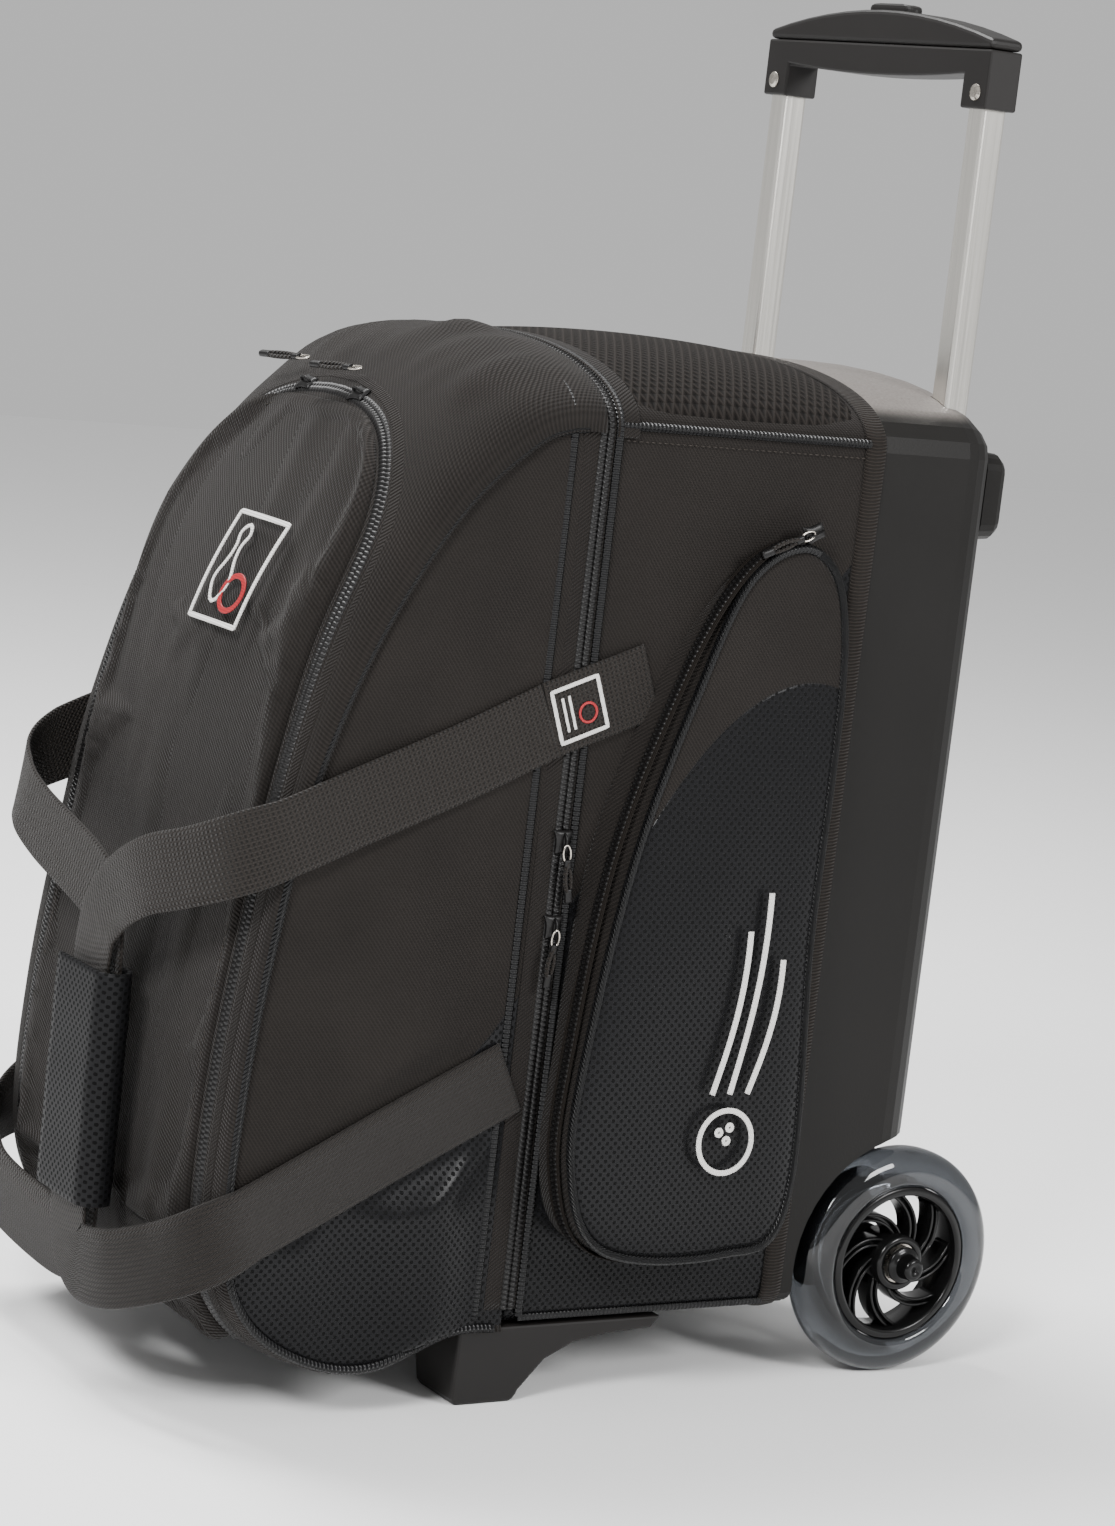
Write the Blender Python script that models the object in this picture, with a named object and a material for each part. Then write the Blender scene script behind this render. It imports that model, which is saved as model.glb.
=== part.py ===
"""Two-ball roller bag for bowling: a moulded back shell on two wheels, a telescopic
handle, a padded ball case, a clamshell front lid, side pockets and carrying straps.

Metres, +Z up. Front is -Y, the side nearest the viewer is +X. Every Y below is measured
from the plane of the handle's tubes; one empty moves the whole bag so that the middle of
its bounding box stands over the world origin.
"""
import math

import bmesh
import bpy
from mathutils import Matrix, Vector

# ---------------------------------------------------------------- driving dimensions
GAP = 0.0003                 # between pieces that touch

CASE_HALF = 0.125            # half width of shell, ball case and lid
CASE_FLOOR = 0.0440          # underside of the ball case
SIDE_TOP = 0.5080            # height where the side walls end and the arched top begins
TOP_RISE = 0.0380            # rise of the arched top at the middle
ARCH_POWER = 2.2             # superellipse power of the arch
PADDING = 0.0050             # ball case wall
LID_WALL = 0.0040

SHELL_BACK = 0.0180          # rear face of the shell
SHELL_FRONT = -0.0700        # shell's front edge, under the binding
SHELL_WALL = 0.0030
SHELL_ROUND = 0.0250         # radius of the shell's rear corners
ZIP_Y = -0.2370              # plane of the main zipper

TUBE_HALF_SPACING = 0.0920
TUBE_X = 0.0139              # inner tube section
TUBE_Y = 0.0158
TUBE_WALL = 0.0012
TUBE_FIT = 0.0004            # clearance a side between inner and guide tube
GUIDE_WALL = 0.0014
GUIDE_TOP = SIDE_TOP + 0.0100
HANDLE_DOWN = 0.1400         # travel to fully pushed in
HANDLE_UP = 0.1800           # travel to fully pulled out

SOCKET_X = 0.0216
SOCKET_Y = 0.0214
SOCKET_BOTTOM = 0.6910
SOCKET_DEPTH = 0.0190
PARTING = 0.7225             # grip's parting plane
GRIP_END_TOP = 0.7280
GRIP_TOP = 0.7410
GRIP_UNDER = 0.7055
BUTTON_LENGTH = 0.0400
BUTTON_WIDTH = 0.0110
BUTTON_TOP = 0.7455
BUTTON_TRAVEL = 0.0035
BUTTON_FIT = 0.0005
ROD_R = 0.0015
PIN_R = 0.0020
PIN_TRAVEL = 0.0030
RIVET_HEIGHT = 0.6995

WHEEL_R = 0.0635
WHEEL_Y = 0.0180
WHEEL_MID = 0.1115           # wheel's middle plane, from the bag's middle
WHEEL_HALF = 0.0135
HUB_R = 0.0435
BORE_R = 0.0110
AXLE_R = 0.0040
AXLE_FIT = 0.0002
WELL_R = 0.0760
WELL_X = 0.0880              # inner face of the wheel well's opening
WELL_WALL = 0.0025

GUIDE_BOTTOM = WHEEL_R + WELL_R + 0.0020
TUBE_BOTTOM = GUIDE_BOTTOM + HANDLE_DOWN + 0.0020   # lower end at the modelled height

FOOT_HEIGHT = CASE_FLOOR - GAP
FOOT_TOP_WIDTH = 0.0500
FOOT_BASE_WIDTH = 0.0360

STRAP_WIDTH = 0.0400
STRAP_THICK = 0.0024
STRAP_HINGE_Y = -0.2440
STRAP_FACE = CASE_HALF + 0.0028     # strap's middle over the side wall
GRIP_WRAP_X = 0.0220
GRIP_WRAP_Y = -0.4370
GRIP_WRAP_TOP = 0.2150
GRIP_WRAP_BASE = 0.0950
WRAP_WIDTH = STRAP_WIDTH + 0.0120
WRAP_WALL = 0.0024
WRAP_SLOT = 0.0120

LID_HINGE_Y = -0.3850
LID_HINGE_Z = 0.0400
POCKET_DEPTH_LOW = 0.0370
POCKET_DEPTH_TOP = 0.0160
POCKET_WALL = 0.0030
SLIDER_Z = (0.3000, 0.2560)

FRONT_REACH = GRIP_WRAP_Y - WRAP_SLOT / 2 - WRAP_WALL
BACK_REACH = WHEEL_Y + WHEEL_R
CENTRE_SHIFT = -(FRONT_REACH + BACK_REACH) / 2

def lid_height(share):
    """Height at a share of the side wall, so that the lid's seam follows the case."""
    return CASE_FLOOR + share * (SIDE_TOP - CASE_FLOOR)


# lid's side seam from its lower rear corner round the front to its upper rear corner:
# (y, z, how far the middle of the panel stands out from the seam)
LID_SEAM = [
    (ZIP_Y - 0.0015, CASE_FLOOR + 0.0008, 0.0010), (-0.2700, CASE_FLOOR + 0.0005, 0.0020),
    (-0.3150, 0.0290, 0.0040), (-0.3540, 0.0350, 0.0060), (-0.3880, 0.0580, 0.0080),
    (-0.4030, 0.0980, 0.0090), (-0.4020, lid_height(0.28233), 0.0090),
    (-0.3930, lid_height(0.45474), 0.0090), (-0.3790, lid_height(0.61638), 0.0140),
    (-0.3520, lid_height(0.77155), 0.0270), (-0.3140, lid_height(0.90517), 0.0350),
    (-0.2780, lid_height(0.97845), TOP_RISE), (-0.2580, SIDE_TOP - 0.0010, TOP_RISE),
    (ZIP_Y - 0.0015, SIDE_TOP, TOP_RISE),
]
LID_STEPS = 2                # lid rows per span of the seam
# side pocket's outline on the side wall (y, z), from the top round the front edge
POCKET_OUTLINE = [
    (-0.1080, 0.4580), (-0.1480, 0.4440), (-0.1780, 0.3800), (-0.2080, 0.2950),
    (-0.2250, 0.2050), (-0.2290, 0.1350), (-0.2050, 0.0900), (-0.1300, 0.0840),
    (-0.0900, 0.1080), (-0.0880, 0.2500), (-0.0860, 0.4100),
]


# ---------------------------------------------------------------- small geometry helpers
def spline(points, per_span, closed=False):
    """Points along a Catmull-Rom curve through the given points."""
    pts = [Vector(p) if len(p) < 4 else p for p in points]
    count = len(pts)
    spans = count if closed else count - 1
    out = []
    for i in range(spans):
        if closed:
            a, b, c, d = (pts[(i + k - 1) % count] for k in range(4))
        else:
            a, b = pts[max(i - 1, 0)], pts[i]
            c, d = pts[i + 1], pts[min(i + 2, count - 1)]
        for k in range(per_span):
            t = k / per_span
            out.append(0.5 * (2 * b + (c - a) * t + (2 * a - 5 * b + 4 * c - d) * t * t
                              + (3 * b - a - 3 * c + d) * t ** 3))
    if not closed:
        out.append(pts[-1].copy())
    return out


def arc(cy, cz, radius, start, end, steps):
    """Points (a, b) on an arc, angles in degrees."""
    angles = [math.radians(start + (end - start) * k / steps) for k in range(steps + 1)]
    return [(cy + radius * math.cos(a), cz + radius * math.sin(a)) for a in angles]


def rounded_rect(width, height, radius, steps=4):
    """Corner-rounded rectangle round the origin, counterclockwise."""
    hx, hy = width / 2 - radius, height / 2 - radius
    points = []
    for sx, sy, start in ((1, 1, 0), (-1, 1, 90), (-1, -1, 180), (1, -1, 270)):
        points += arc(sx * hx, sy * hy, radius, start, start + 90, steps)
    return points


def arch(half, rise, steps=16):
    """Superellipse arch from (half, 0) over the middle to (-half, 0)."""
    points = []
    for k in range(steps + 1):
        c = math.cos(math.pi * k / steps)
        s = max(math.sin(math.pi * k / steps), 0.0)
        across = math.copysign(abs(c) ** (2 / ARCH_POWER), c) if abs(c) > 1e-9 else 0.0
        points.append((half * across, rise * s ** (2 / ARCH_POWER) if s > 1e-9 else 0.0))
    return points


def case_section(y, inset=0.0, floor=CASE_FLOOR, side_top=SIDE_TOP, rise=TOP_RISE):
    """Cross-section of the bag at one y: flat floor, round lower corners, arched top."""
    half, base = CASE_HALF - inset, floor + inset
    corner = max(0.012 - inset, 0.002)
    ring = [Vector((x, y, z)) for x, z in arc(half - corner, base + corner, corner, 270, 360, 4)]
    ring += [Vector((x, y, side_top + z)) for x, z in arch(half, rise - inset)]
    ring += [Vector((x, y, z)) for x, z in arc(corner - half, base + corner, corner, 180, 270, 4)]
    return ring


def new_object(name, bm, material, pivot=(0, 0, 0), parent=None):
    """Mesh object from a bmesh built in bag coordinates, with its origin at the pivot."""
    bmesh.ops.recalc_face_normals(bm, faces=bm.faces[:])
    bmesh.ops.translate(bm, verts=bm.verts[:], vec=-Vector(pivot))
    mesh = bpy.data.meshes.new(name)
    bm.to_mesh(mesh)
    bm.free()
    obj = bpy.data.objects.new(name, mesh)
    obj.location = pivot
    obj.parent = parent or BAG
    mesh.materials.append(material)
    bpy.context.collection.objects.link(obj)
    return obj


def loft(rings, loop=False, bm=None):
    """Solid skin through closed rings; a loop joins the last ring to the first."""
    bm = bm or bmesh.new()
    rows = [[bm.verts.new(p) for p in ring] for ring in rings]
    count = len(rows[0])
    pairs = list(zip(rows, rows[1:]))
    if loop:
        pairs.append((rows[-1], rows[0]))
    for low, high in pairs:
        for k in range(count):
            n = (k + 1) % count
            bm.faces.new((low[k], low[n], high[n], high[k]))
    if not loop:
        bm.faces.new(rows[0][::-1])
        bm.faces.new(rows[-1])
    return bm


def cup(outer, inner):
    """Hollow solid: outer rings from closed end to rim, then inner rings back again."""
    return loft(outer + inner[::-1])


def prism(points, axis, low, high, bm=None):
    """Polygon pushed along X (points are y, z), Y (x, z) or Z (x, y)."""
    place = {"X": lambda a, b, c: (c, a, b), "Y": lambda a, b, c: (a, c, b),
             "Z": lambda a, b, c: (a, b, c)}[axis]
    return loft([[Vector(place(a, b, c)) for a, b in points] for c in (low, high)], bm=bm)


def box(x, y, z, bm=None):
    """Box from three (low, high) pairs."""
    corners = [(x[0], y[0]), (x[1], y[0]), (x[1], y[1]), (x[0], y[1])]
    return prism(corners, "Z", z[0], z[1], bm)


def turned(profile, centre, steps=40, loop=True):
    """Ring turned about a line along X; profile points are (x, radius)."""
    cx, cy, cz = centre
    rings = []
    for k in range(steps):
        a = 2 * math.pi * k / steps
        rings.append([Vector((cx + x, cy + r * math.cos(a), cz + r * math.sin(a)))
                      for x, r in profile])
    return loft(rings, loop=loop)


def rod(start, end, radius, steps=16, bm=None):
    """Cylinder between two points."""
    start, end = Vector(start), Vector(end)
    turn = (end - start).to_track_quat("Z", "Y").to_matrix()
    circle = [Vector((radius * math.cos(a), radius * math.sin(a), 0))
              for a in (2 * math.pi * k / steps for k in range(steps))]
    return loft([[p + turn @ c for c in circle] for p in (start, end)], bm=bm)


def tool(name, bm):
    """Hidden shape used only by Boolean modifiers."""
    obj = new_object(name, bm, MATERIALS["shell"])
    obj.hide_render = True
    obj.display_type = "WIRE"
    return obj


def combine(obj, other, operation="DIFFERENCE"):
    mod = obj.modifiers.new(operation.lower(), "BOOLEAN")
    mod.operation = operation
    mod.solver = "EXACT"
    mod.object = other


def bevel(obj, width, segments=2, angle=35):
    mod = obj.modifiers.new("edge", "BEVEL")
    mod.width = width
    mod.segments = segments
    mod.limit_method = "ANGLE"
    mod.angle_limit = math.radians(angle)


def ribbon(path, normals, width, thick):
    """Flat strap along a path; each normal is the strap's outward face direction."""
    rings = []
    for i, p in enumerate(path):
        along = (path[min(i + 1, len(path) - 1)] - path[max(i - 1, 0)]).normalized()
        out = (normals[i] - along * normals[i].dot(along)).normalized()
        across = along.cross(out)
        corners = ((1, 1), (-1, 1), (-1, -1), (1, -1))
        rings.append([p + across * a * width / 2 + out * b * thick / 2 for a, b in corners])
    return loft(rings)


# ---------------------------------------------------------------- materials
PALETTE = {
    # name: (colour, roughness, metallic)
    "shell": ((0.022, 0.021, 0.020), 0.55, 0.0),
    "fabric": ((0.016, 0.014, 0.012), 0.90, 0.0),
    "vinyl": ((0.008, 0.008, 0.008), 0.35, 0.0),
    "webbing": ((0.020, 0.016, 0.013), 0.85, 0.0),
    "zipper": ((0.010, 0.010, 0.010), 0.50, 0.0),
    "board": ((0.060, 0.058, 0.055), 0.80, 0.0),
    "foam": ((0.035, 0.035, 0.036), 0.95, 0.0),
    "grip": ((0.024, 0.023, 0.022), 0.60, 0.0),
    "aluminium": ((0.720, 0.700, 0.670), 0.28, 1.0),
    "steel": ((0.500, 0.490, 0.480), 0.30, 1.0),
    "tyre": ((0.050, 0.055, 0.065), 0.08, 0.0),
    "hub": ((0.006, 0.006, 0.006), 0.25, 0.0),
    "badge": ((0.700, 0.700, 0.700), 0.70, 0.0),
}


def make_material(name):
    colour, roughness, metallic = PALETTE[name]
    mat = bpy.data.materials.new(name)
    mat.use_nodes = True
    shader = mat.node_tree.nodes["Principled BSDF"]
    shader.inputs["Base Color"].default_value = (*colour, 1.0)
    shader.inputs["Roughness"].default_value = roughness
    shader.inputs["Metallic"].default_value = metallic
    return mat


def mirror_x(points, side):
    return [Vector((side * p[0], p[1], p[2])) for p in points]


# ---------------------------------------------------------------- back shell and wheels
def shell_rings(wall, back):
    """Tray rings from the flat rear face round its corner to the front edge."""
    rings = []
    for k in range(7):
        a = math.radians(90 * k / 6)
        radius = SHELL_ROUND - wall
        inset = wall + radius * (1 - math.sin(a))
        rings.append(case_section(back - radius * (1 - math.cos(a)), inset))
    rings.append(case_section(SHELL_FRONT, wall))
    return rings


def well_outline(radius):
    """Wheel well seen from the side: the part of its circle inside the shell."""
    drop = math.degrees(math.asin((WHEEL_R - CASE_FLOOR) / radius))
    points = arc(WHEEL_Y, WHEEL_R, radius, 90, 180 + drop, 14)
    return points + [(WHEEL_Y, CASE_FLOOR)]


def grown_well():
    """Cutting outline that runs past the shell's rear face and floor."""
    points = arc(WHEEL_Y, WHEEL_R, WELL_R + GAP, 90, 196, 14)
    low = CASE_FLOOR - 0.01
    points[-1] = (points[-1][0], low)
    back = SHELL_BACK + 0.01
    return points + [(back, low), (back, WHEEL_R + WELL_R + GAP)]


TROUGH_Y = -0.0030           # rear face of the trough that the axle lies in
TROUGH_TOP = 0.1120


def back_shell():
    obj = new_object("back_shell", cup(shell_rings(0.0, SHELL_BACK),
                                       shell_rings(SHELL_WALL, SHELL_BACK - SHELL_WALL)),
                     MATERIALS["shell"])
    inner = WELL_X - WELL_WALL - GAP
    for side, word in ((1, "near"), (-1, "far")):
        ends = sorted((side * inner, side * (CASE_HALF + 0.01)))
        combine(obj, tool("cut_well_" + word, prism(grown_well(), "X", *ends)))
        slot = box((side * TUBE_HALF_SPACING - TUBE_X / 2 - TUBE_FIT,
                    side * TUBE_HALF_SPACING + TUBE_X / 2 + TUBE_FIT),
                   (-TUBE_Y / 2 - TUBE_FIT, TUBE_Y / 2 + TUBE_FIT),
                   (GUIDE_TOP - 0.02, SIDE_TOP + TOP_RISE + 0.02))
        combine(obj, tool("cut_tube_" + word, slot))
    trough = box((-inner - 0.001, inner + 0.001),
                 (TROUGH_Y - WELL_WALL - GAP, SHELL_BACK + 0.01),
                 (CASE_FLOOR - 0.01, TROUGH_TOP + GAP))
    combine(obj, tool("cut_trough", trough))
    return obj


def wheel_carrier():
    """One moulding: two wheel wells, the trough between them and the axle bosses."""
    wall = WELL_WALL
    back_plate = [(TROUGH_Y - wall, CASE_FLOOR), (TROUGH_Y, CASE_FLOOR),
                  (TROUGH_Y, TROUGH_TOP - wall), (SHELL_BACK, TROUGH_TOP - wall),
                  (SHELL_BACK, TROUGH_TOP), (TROUGH_Y - wall, TROUGH_TOP)]
    obj = new_object("wheel_carrier", prism(back_plate, "X", 0.001 - WELL_X, WELL_X - 0.001),
                     MATERIALS["shell"])
    envelope = tool("shell_envelope", loft(shell_rings(0.0005, SHELL_BACK)))
    for side, word in ((1, "near"), (-1, "far")):
        ends = sorted((side * (WELL_X - wall), side * (CASE_HALF + 0.0010)))
        well = tool("well_" + word, prism(well_outline(WELL_R), "X", *ends))
        hollow = arc(WHEEL_Y, WHEEL_R, WELL_R - wall, 90, 196, 14)
        hollow[-1] = (hollow[-1][0], CASE_FLOOR - 0.01)
        hollow += [(SHELL_BACK + 0.01, CASE_FLOOR - 0.01),
                   (SHELL_BACK + 0.01, WHEEL_R + WELL_R - wall)]
        ends = sorted((side * WELL_X, side * (CASE_HALF + 0.01)))
        combine(well, tool("hollow_" + word, prism(hollow, "X", *ends)))
        combine(well, envelope, "INTERSECT")
        combine(obj, well, "UNION")
        ends = sorted((side * (WELL_X - 0.016), side * (WELL_X + 0.0004)))
        boss = rod((ends[0], WHEEL_Y, WHEEL_R), (ends[1], WHEEL_Y, WHEEL_R), 0.0130, 28)
        combine(obj, tool("boss_" + word, boss), "UNION")
    bore = rod((-0.11, WHEEL_Y, WHEEL_R), (0.11, WHEEL_Y, WHEEL_R), AXLE_R + AXLE_FIT, 24)
    combine(obj, tool("cut_axle", bore))
    return obj


def back_skids():
    for side, word in ((1, "near"), (-1, "far")):
        face = [(x + side * 0.094, z + 0.487) for x, z in rounded_rect(0.030, 0.048, 0.009)]
        rings = []
        for depth, shrink in ((SHELL_BACK + GAP, 1.0), (SHELL_BACK + 0.0105, 0.97),
                              (SHELL_BACK + 0.0140, 0.86), (SHELL_BACK + 0.0155, 0.68)):
            rings.append([Vector((side * 0.094 + (x - side * 0.094) * shrink, depth,
                                  0.487 + (z - 0.487) * shrink)) for x, z in face])
        new_object("back_skid_" + word, loft(rings), MATERIALS["shell"])


def front_feet():
    """Feet under the ball case: straight front, curved gusset running back."""
    outline = [(-0.2620, FOOT_HEIGHT), (-0.2590, 0.0040), (-0.2560, 0.0), (-0.2230, 0.0)]
    outline += arc(-0.2290, 0.0080, 0.0105, -50, -10, 3)
    outline += [(-0.2060, 0.0230), (-0.1900, 0.0315), (-0.1700, 0.0350),
                (-0.1420, 0.0370), (-0.1380, FOOT_HEIGHT)]
    outline = outline[:4] + outline[5:]
    for side, word in ((1, "near"), (-1, "far")):
        middle = side * (CASE_HALF - 0.001 - FOOT_TOP_WIDTH / 2)
        rings = []
        for edge in (-1, 1):
            ring = []
            for y, z in outline:
                share = z / FOOT_HEIGHT
                half = (FOOT_BASE_WIDTH + (FOOT_TOP_WIDTH - FOOT_BASE_WIDTH) * share) / 2
                ring.append(Vector((middle + edge * half, y, z)))
            rings.append(ring)
        obj = new_object("front_foot_" + word, loft(rings), MATERIALS["grip"])
        bevel(obj, 0.0015)


def hub_openings(centre, side):
    """Eight swirled openings between the hub's spokes, as one cutting mesh."""
    bm = bmesh.new()
    inner, outer, twist = 0.0170, 0.0350, math.radians(38 * side)
    for k in range(8):
        start = 2 * math.pi * k / 8
        edge = []
        for share in (0.0, 0.25, 0.5, 0.75, 1.0):
            r = inner + (outer - inner) * share
            edge.append((r, start + twist * share))
        width = math.radians(25)
        loop = edge + [(r, a + width * (0.75 + 0.25 * r / outer)) for r, a in edge[::-1]]
        points = [(centre[1] + r * math.cos(a), centre[2] + r * math.sin(a)) for r, a in loop]
        prism(points, "X", centre[0] - 0.03, centre[0] + 0.03, bm)
    return bm


def wheels():
    w = WHEEL_HALF
    for side, word in ((1, "near"), (-1, "far")):
        centre = (side * WHEEL_MID, WHEEL_Y, WHEEL_R)
        hub = [(-w + 0.001, BORE_R + GAP), (w - 0.001, BORE_R + GAP), (w - 0.001, 0.0145),
               (0.0062, 0.0160), (0.0062, 0.0360), (w - 0.003, 0.0385), (w - 0.003, HUB_R),
               (0.003 - w, HUB_R), (0.003 - w, 0.0385), (-0.0062, 0.0360),
               (-0.0062, 0.0160), (0.001 - w, 0.0145)]
        obj = new_object("wheel_hub_" + word, turned(hub, centre, 40), MATERIALS["hub"], centre)
        combine(obj, tool("cut_hub_" + word, hub_openings(centre, side)))
        tread = [(w * math.copysign(abs(math.cos(a)) ** 0.75, math.cos(a)),
                  HUB_R + 0.004 + (WHEEL_R - HUB_R - 0.004) * math.sin(a) ** 0.8)
                 for a in (math.pi * k / 10 for k in range(1, 10))]
        tyre = [(w * 0.86, HUB_R + GAP)] + tread + [(-w * 0.86, HUB_R + GAP)]
        new_object("wheel_tyre_" + word, turned(tyre, centre, 48), MATERIALS["tyre"], centre)
        race = [(-0.0035, AXLE_R + AXLE_FIT), (0.0035, AXLE_R + AXLE_FIT),
                (0.0035, BORE_R), (-0.0035, BORE_R)]
        place = (side * (WHEEL_MID + w - 0.0055), WHEEL_Y, WHEEL_R)
        new_object("wheel_bearing_" + word, turned(race, place, 32), MATERIALS["steel"], centre)
        start, end = WELL_X + 0.0008, WHEEL_MID - w + 0.001 - 0.0005
        ring = [(side * (start - WHEEL_MID), AXLE_R + AXLE_FIT),
                (side * (end - WHEEL_MID), AXLE_R + AXLE_FIT),
                (side * (end - WHEEL_MID), 0.0080), (side * (start - WHEEL_MID), 0.0080)]
        new_object("axle_spacer_" + word, turned(ring, centre, 28), MATERIALS["steel"], centre)
        cap = [(0.0, AXLE_R + AXLE_FIT), (0.0, 0.0100), (0.0030, 0.0100), (0.0040, 0.0092),
               (0.0045, 0.0066), (0.0120, 0.0060), (0.0132, 0.0048), (0.0132, 0.0008),
               (0.0062, 0.0008), (0.0062, AXLE_R + AXLE_FIT)]
        face = side * (WHEEL_MID + w + 0.0006)
        cap_bm = turned([(side * x, r) for x, r in cap], (face, WHEEL_Y, WHEEL_R), 28)
        new_object("axle_cap_" + word, cap_bm, MATERIALS["hub"], centre)
    reach = WHEEL_MID + w + 0.0006 + 0.0055
    axle = rod((-reach, WHEEL_Y, WHEEL_R), (reach, WHEEL_Y, WHEEL_R), AXLE_R, 24)
    new_object("wheel_axle", axle, MATERIALS["steel"], (0, WHEEL_Y, WHEEL_R))


# ---------------------------------------------------------------- telescopic handle
def square_tube(x, width, depth, wall, low, high):
    outer, inner = rounded_rect(width, depth, 0.0022), rounded_rect(
        width - 2 * wall, depth - 2 * wall, 0.0012)
    rings = [[Vector((x + a, b, z)) for a, b in points]
             for points, z in ((outer, low), (outer, high), (inner, high), (inner, low))]
    return loft(rings, loop=True)


def pin_place(side):
    return Vector((side * (TUBE_HALF_SPACING + 0.0015), 0, TUBE_BOTTOM + 0.015))


def guide_tubes():
    width = TUBE_X + 2 * (TUBE_FIT + GUIDE_WALL)
    depth = TUBE_Y + 2 * (TUBE_FIT + GUIDE_WALL)
    for side, word in ((1, "near"), (-1, "far")):
        bm = square_tube(side * TUBE_HALF_SPACING, width, depth, GUIDE_WALL,
                         GUIDE_BOTTOM, GUIDE_TOP)
        obj = new_object("guide_tube_" + word, bm, MATERIALS["aluminium"])
        holes = bmesh.new()
        for travel in (-HANDLE_DOWN, HANDLE_UP):
            p = pin_place(side) + Vector((0, 0, travel))
            rod(p, p + Vector((0, 0.02, 0)), PIN_R + 0.0005, 16, holes)
        combine(obj, tool("cut_detents_" + word, holes))


def tube_bracket():
    """Cross bar that holds the guide tubes' lower ends to the shell."""
    outer_x = TUBE_X + 2 * (TUBE_FIT + GUIDE_WALL + GAP)
    outer_y = TUBE_Y + 2 * (TUBE_FIT + GUIDE_WALL + GAP)
    low, high = WHEEL_R + WELL_R + 0.0025, WHEEL_R + WELL_R + 0.0225
    half = TUBE_HALF_SPACING + outer_x / 2 + 0.0035
    bar = box((-half, half), (-outer_y / 2 - 0.0010, outer_y / 2 + 0.0020), (low, high))
    obj = new_object("tube_bracket", bar, MATERIALS["shell"])
    for side, word in ((1, "near"), (-1, "far")):
        x = side * TUBE_HALF_SPACING
        slot = box((x - outer_x / 2, x + outer_x / 2), (-outer_y / 2, outer_y / 2),
                   (low - 0.01, high + 0.01))
        combine(obj, tool("cut_bracket_" + word, slot))


def inner_tubes():
    for side, word in ((1, "near"), (-1, "far")):
        bm = square_tube(side * TUBE_HALF_SPACING, TUBE_X, TUBE_Y, TUBE_WALL,
                         TUBE_BOTTOM, SOCKET_BOTTOM + SOCKET_DEPTH - 0.0006)
        obj = new_object("inner_tube_" + word, bm, MATERIALS["aluminium"])
        p = pin_place(side)
        holes = rod(p, p + Vector((0, 0.02, 0)), PIN_R + GAP, 16)
        q = Vector((p.x, 0, RIVET_HEIGHT))
        rod(q - Vector((0, 0.02, 0)), q + Vector((0, 0.02, 0)), 0.0023, 16, holes)
        combine(obj, tool("cut_pin_" + word, holes))


def grip_outline(top):
    """Grip in the XZ plane, either the half below the parting plane or the one above."""
    end = TUBE_HALF_SPACING + SOCKET_X / 2
    inner = TUBE_HALF_SPACING - SOCKET_X / 2
    count = 12
    span = [inner - 2 * inner * k / count for k in range(count + 1)]
    if not top:
        curve = [(x, 0.7090 - (0.7090 - GRIP_UNDER) * (1 - (x / inner) ** 2)) for x in span]
        return ([(end, PARTING - GAP / 2), (end, SOCKET_BOTTOM), (inner, SOCKET_BOTTOM)] + curve
                + [(-inner, SOCKET_BOTTOM), (-end, SOCKET_BOTTOM), (-end, PARTING - GAP / 2)])
    span = [end - 2 * end * k / count for k in range(count + 1)]
    curve = [(x, GRIP_END_TOP + (GRIP_TOP - GRIP_END_TOP) * (1 - (x / end) ** 2)) for x in span]
    return [(end, PARTING + GAP / 2)] + curve + [(-end, PARTING + GAP / 2)]


def grip_lower():
    half = SOCKET_Y / 2
    obj = new_object("grip_lower", prism(grip_outline(False), "Y", -half, half), MATERIALS["grip"])
    bevel(obj, 0.0012)
    cuts = box((-0.0960, 0.0960), (-0.0046, 0.0046), (PARTING - 0.0100, PARTING + 0.002))
    combine(obj, tool("cut_yoke_space", cuts))
    well = rod((0, 0, GRIP_UNDER + 0.0020), (0, 0, PARTING - 0.0095), 0.0042, 20)
    combine(obj, tool("cut_spring_well", well))
    for side, word in ((1, "near"), (-1, "far")):
        x = side * TUBE_HALF_SPACING
        socket = box((x - TUBE_X / 2 - GAP, x + TUBE_X / 2 + GAP),
                     (-TUBE_Y / 2 - GAP, TUBE_Y / 2 + GAP),
                     (SOCKET_BOTTOM - 0.01, SOCKET_BOTTOM + SOCKET_DEPTH))
        combine(obj, tool("cut_socket_" + word, socket))
        p = rod_place(side)
        holes = rod((p.x, 0, SOCKET_BOTTOM + SOCKET_DEPTH - 0.001), (p.x, 0, PARTING - 0.0095),
                    ROD_R + 0.0005, 16)
        q = pin_place(side)
        rod((q.x, -0.02, RIVET_HEIGHT), (q.x, 0.02, RIVET_HEIGHT), 0.0023, 16, holes)
        combine(obj, tool("cut_grip_" + word, holes))


def oval(length, width):
    return rounded_rect(length, width, width / 2 - 0.0001, 6)


def grip_upper():
    half = SOCKET_Y / 2
    obj = new_object("grip_upper", prism(grip_outline(True), "Y", -half, half), MATERIALS["grip"])
    bevel(obj, 0.0028, 3)
    hole = prism(oval(BUTTON_LENGTH + 2 * BUTTON_FIT, BUTTON_WIDTH + 2 * BUTTON_FIT), "Z",
                 PARTING - 0.01, BUTTON_TOP + 0.01)
    combine(obj, tool("cut_button", hole))
    flange = prism(oval(BUTTON_LENGTH + 0.006, BUTTON_WIDTH + 0.0048), "Z",
                   PARTING - 0.01, PARTING + 0.0080)
    combine(obj, tool("cut_flange", flange))


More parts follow.
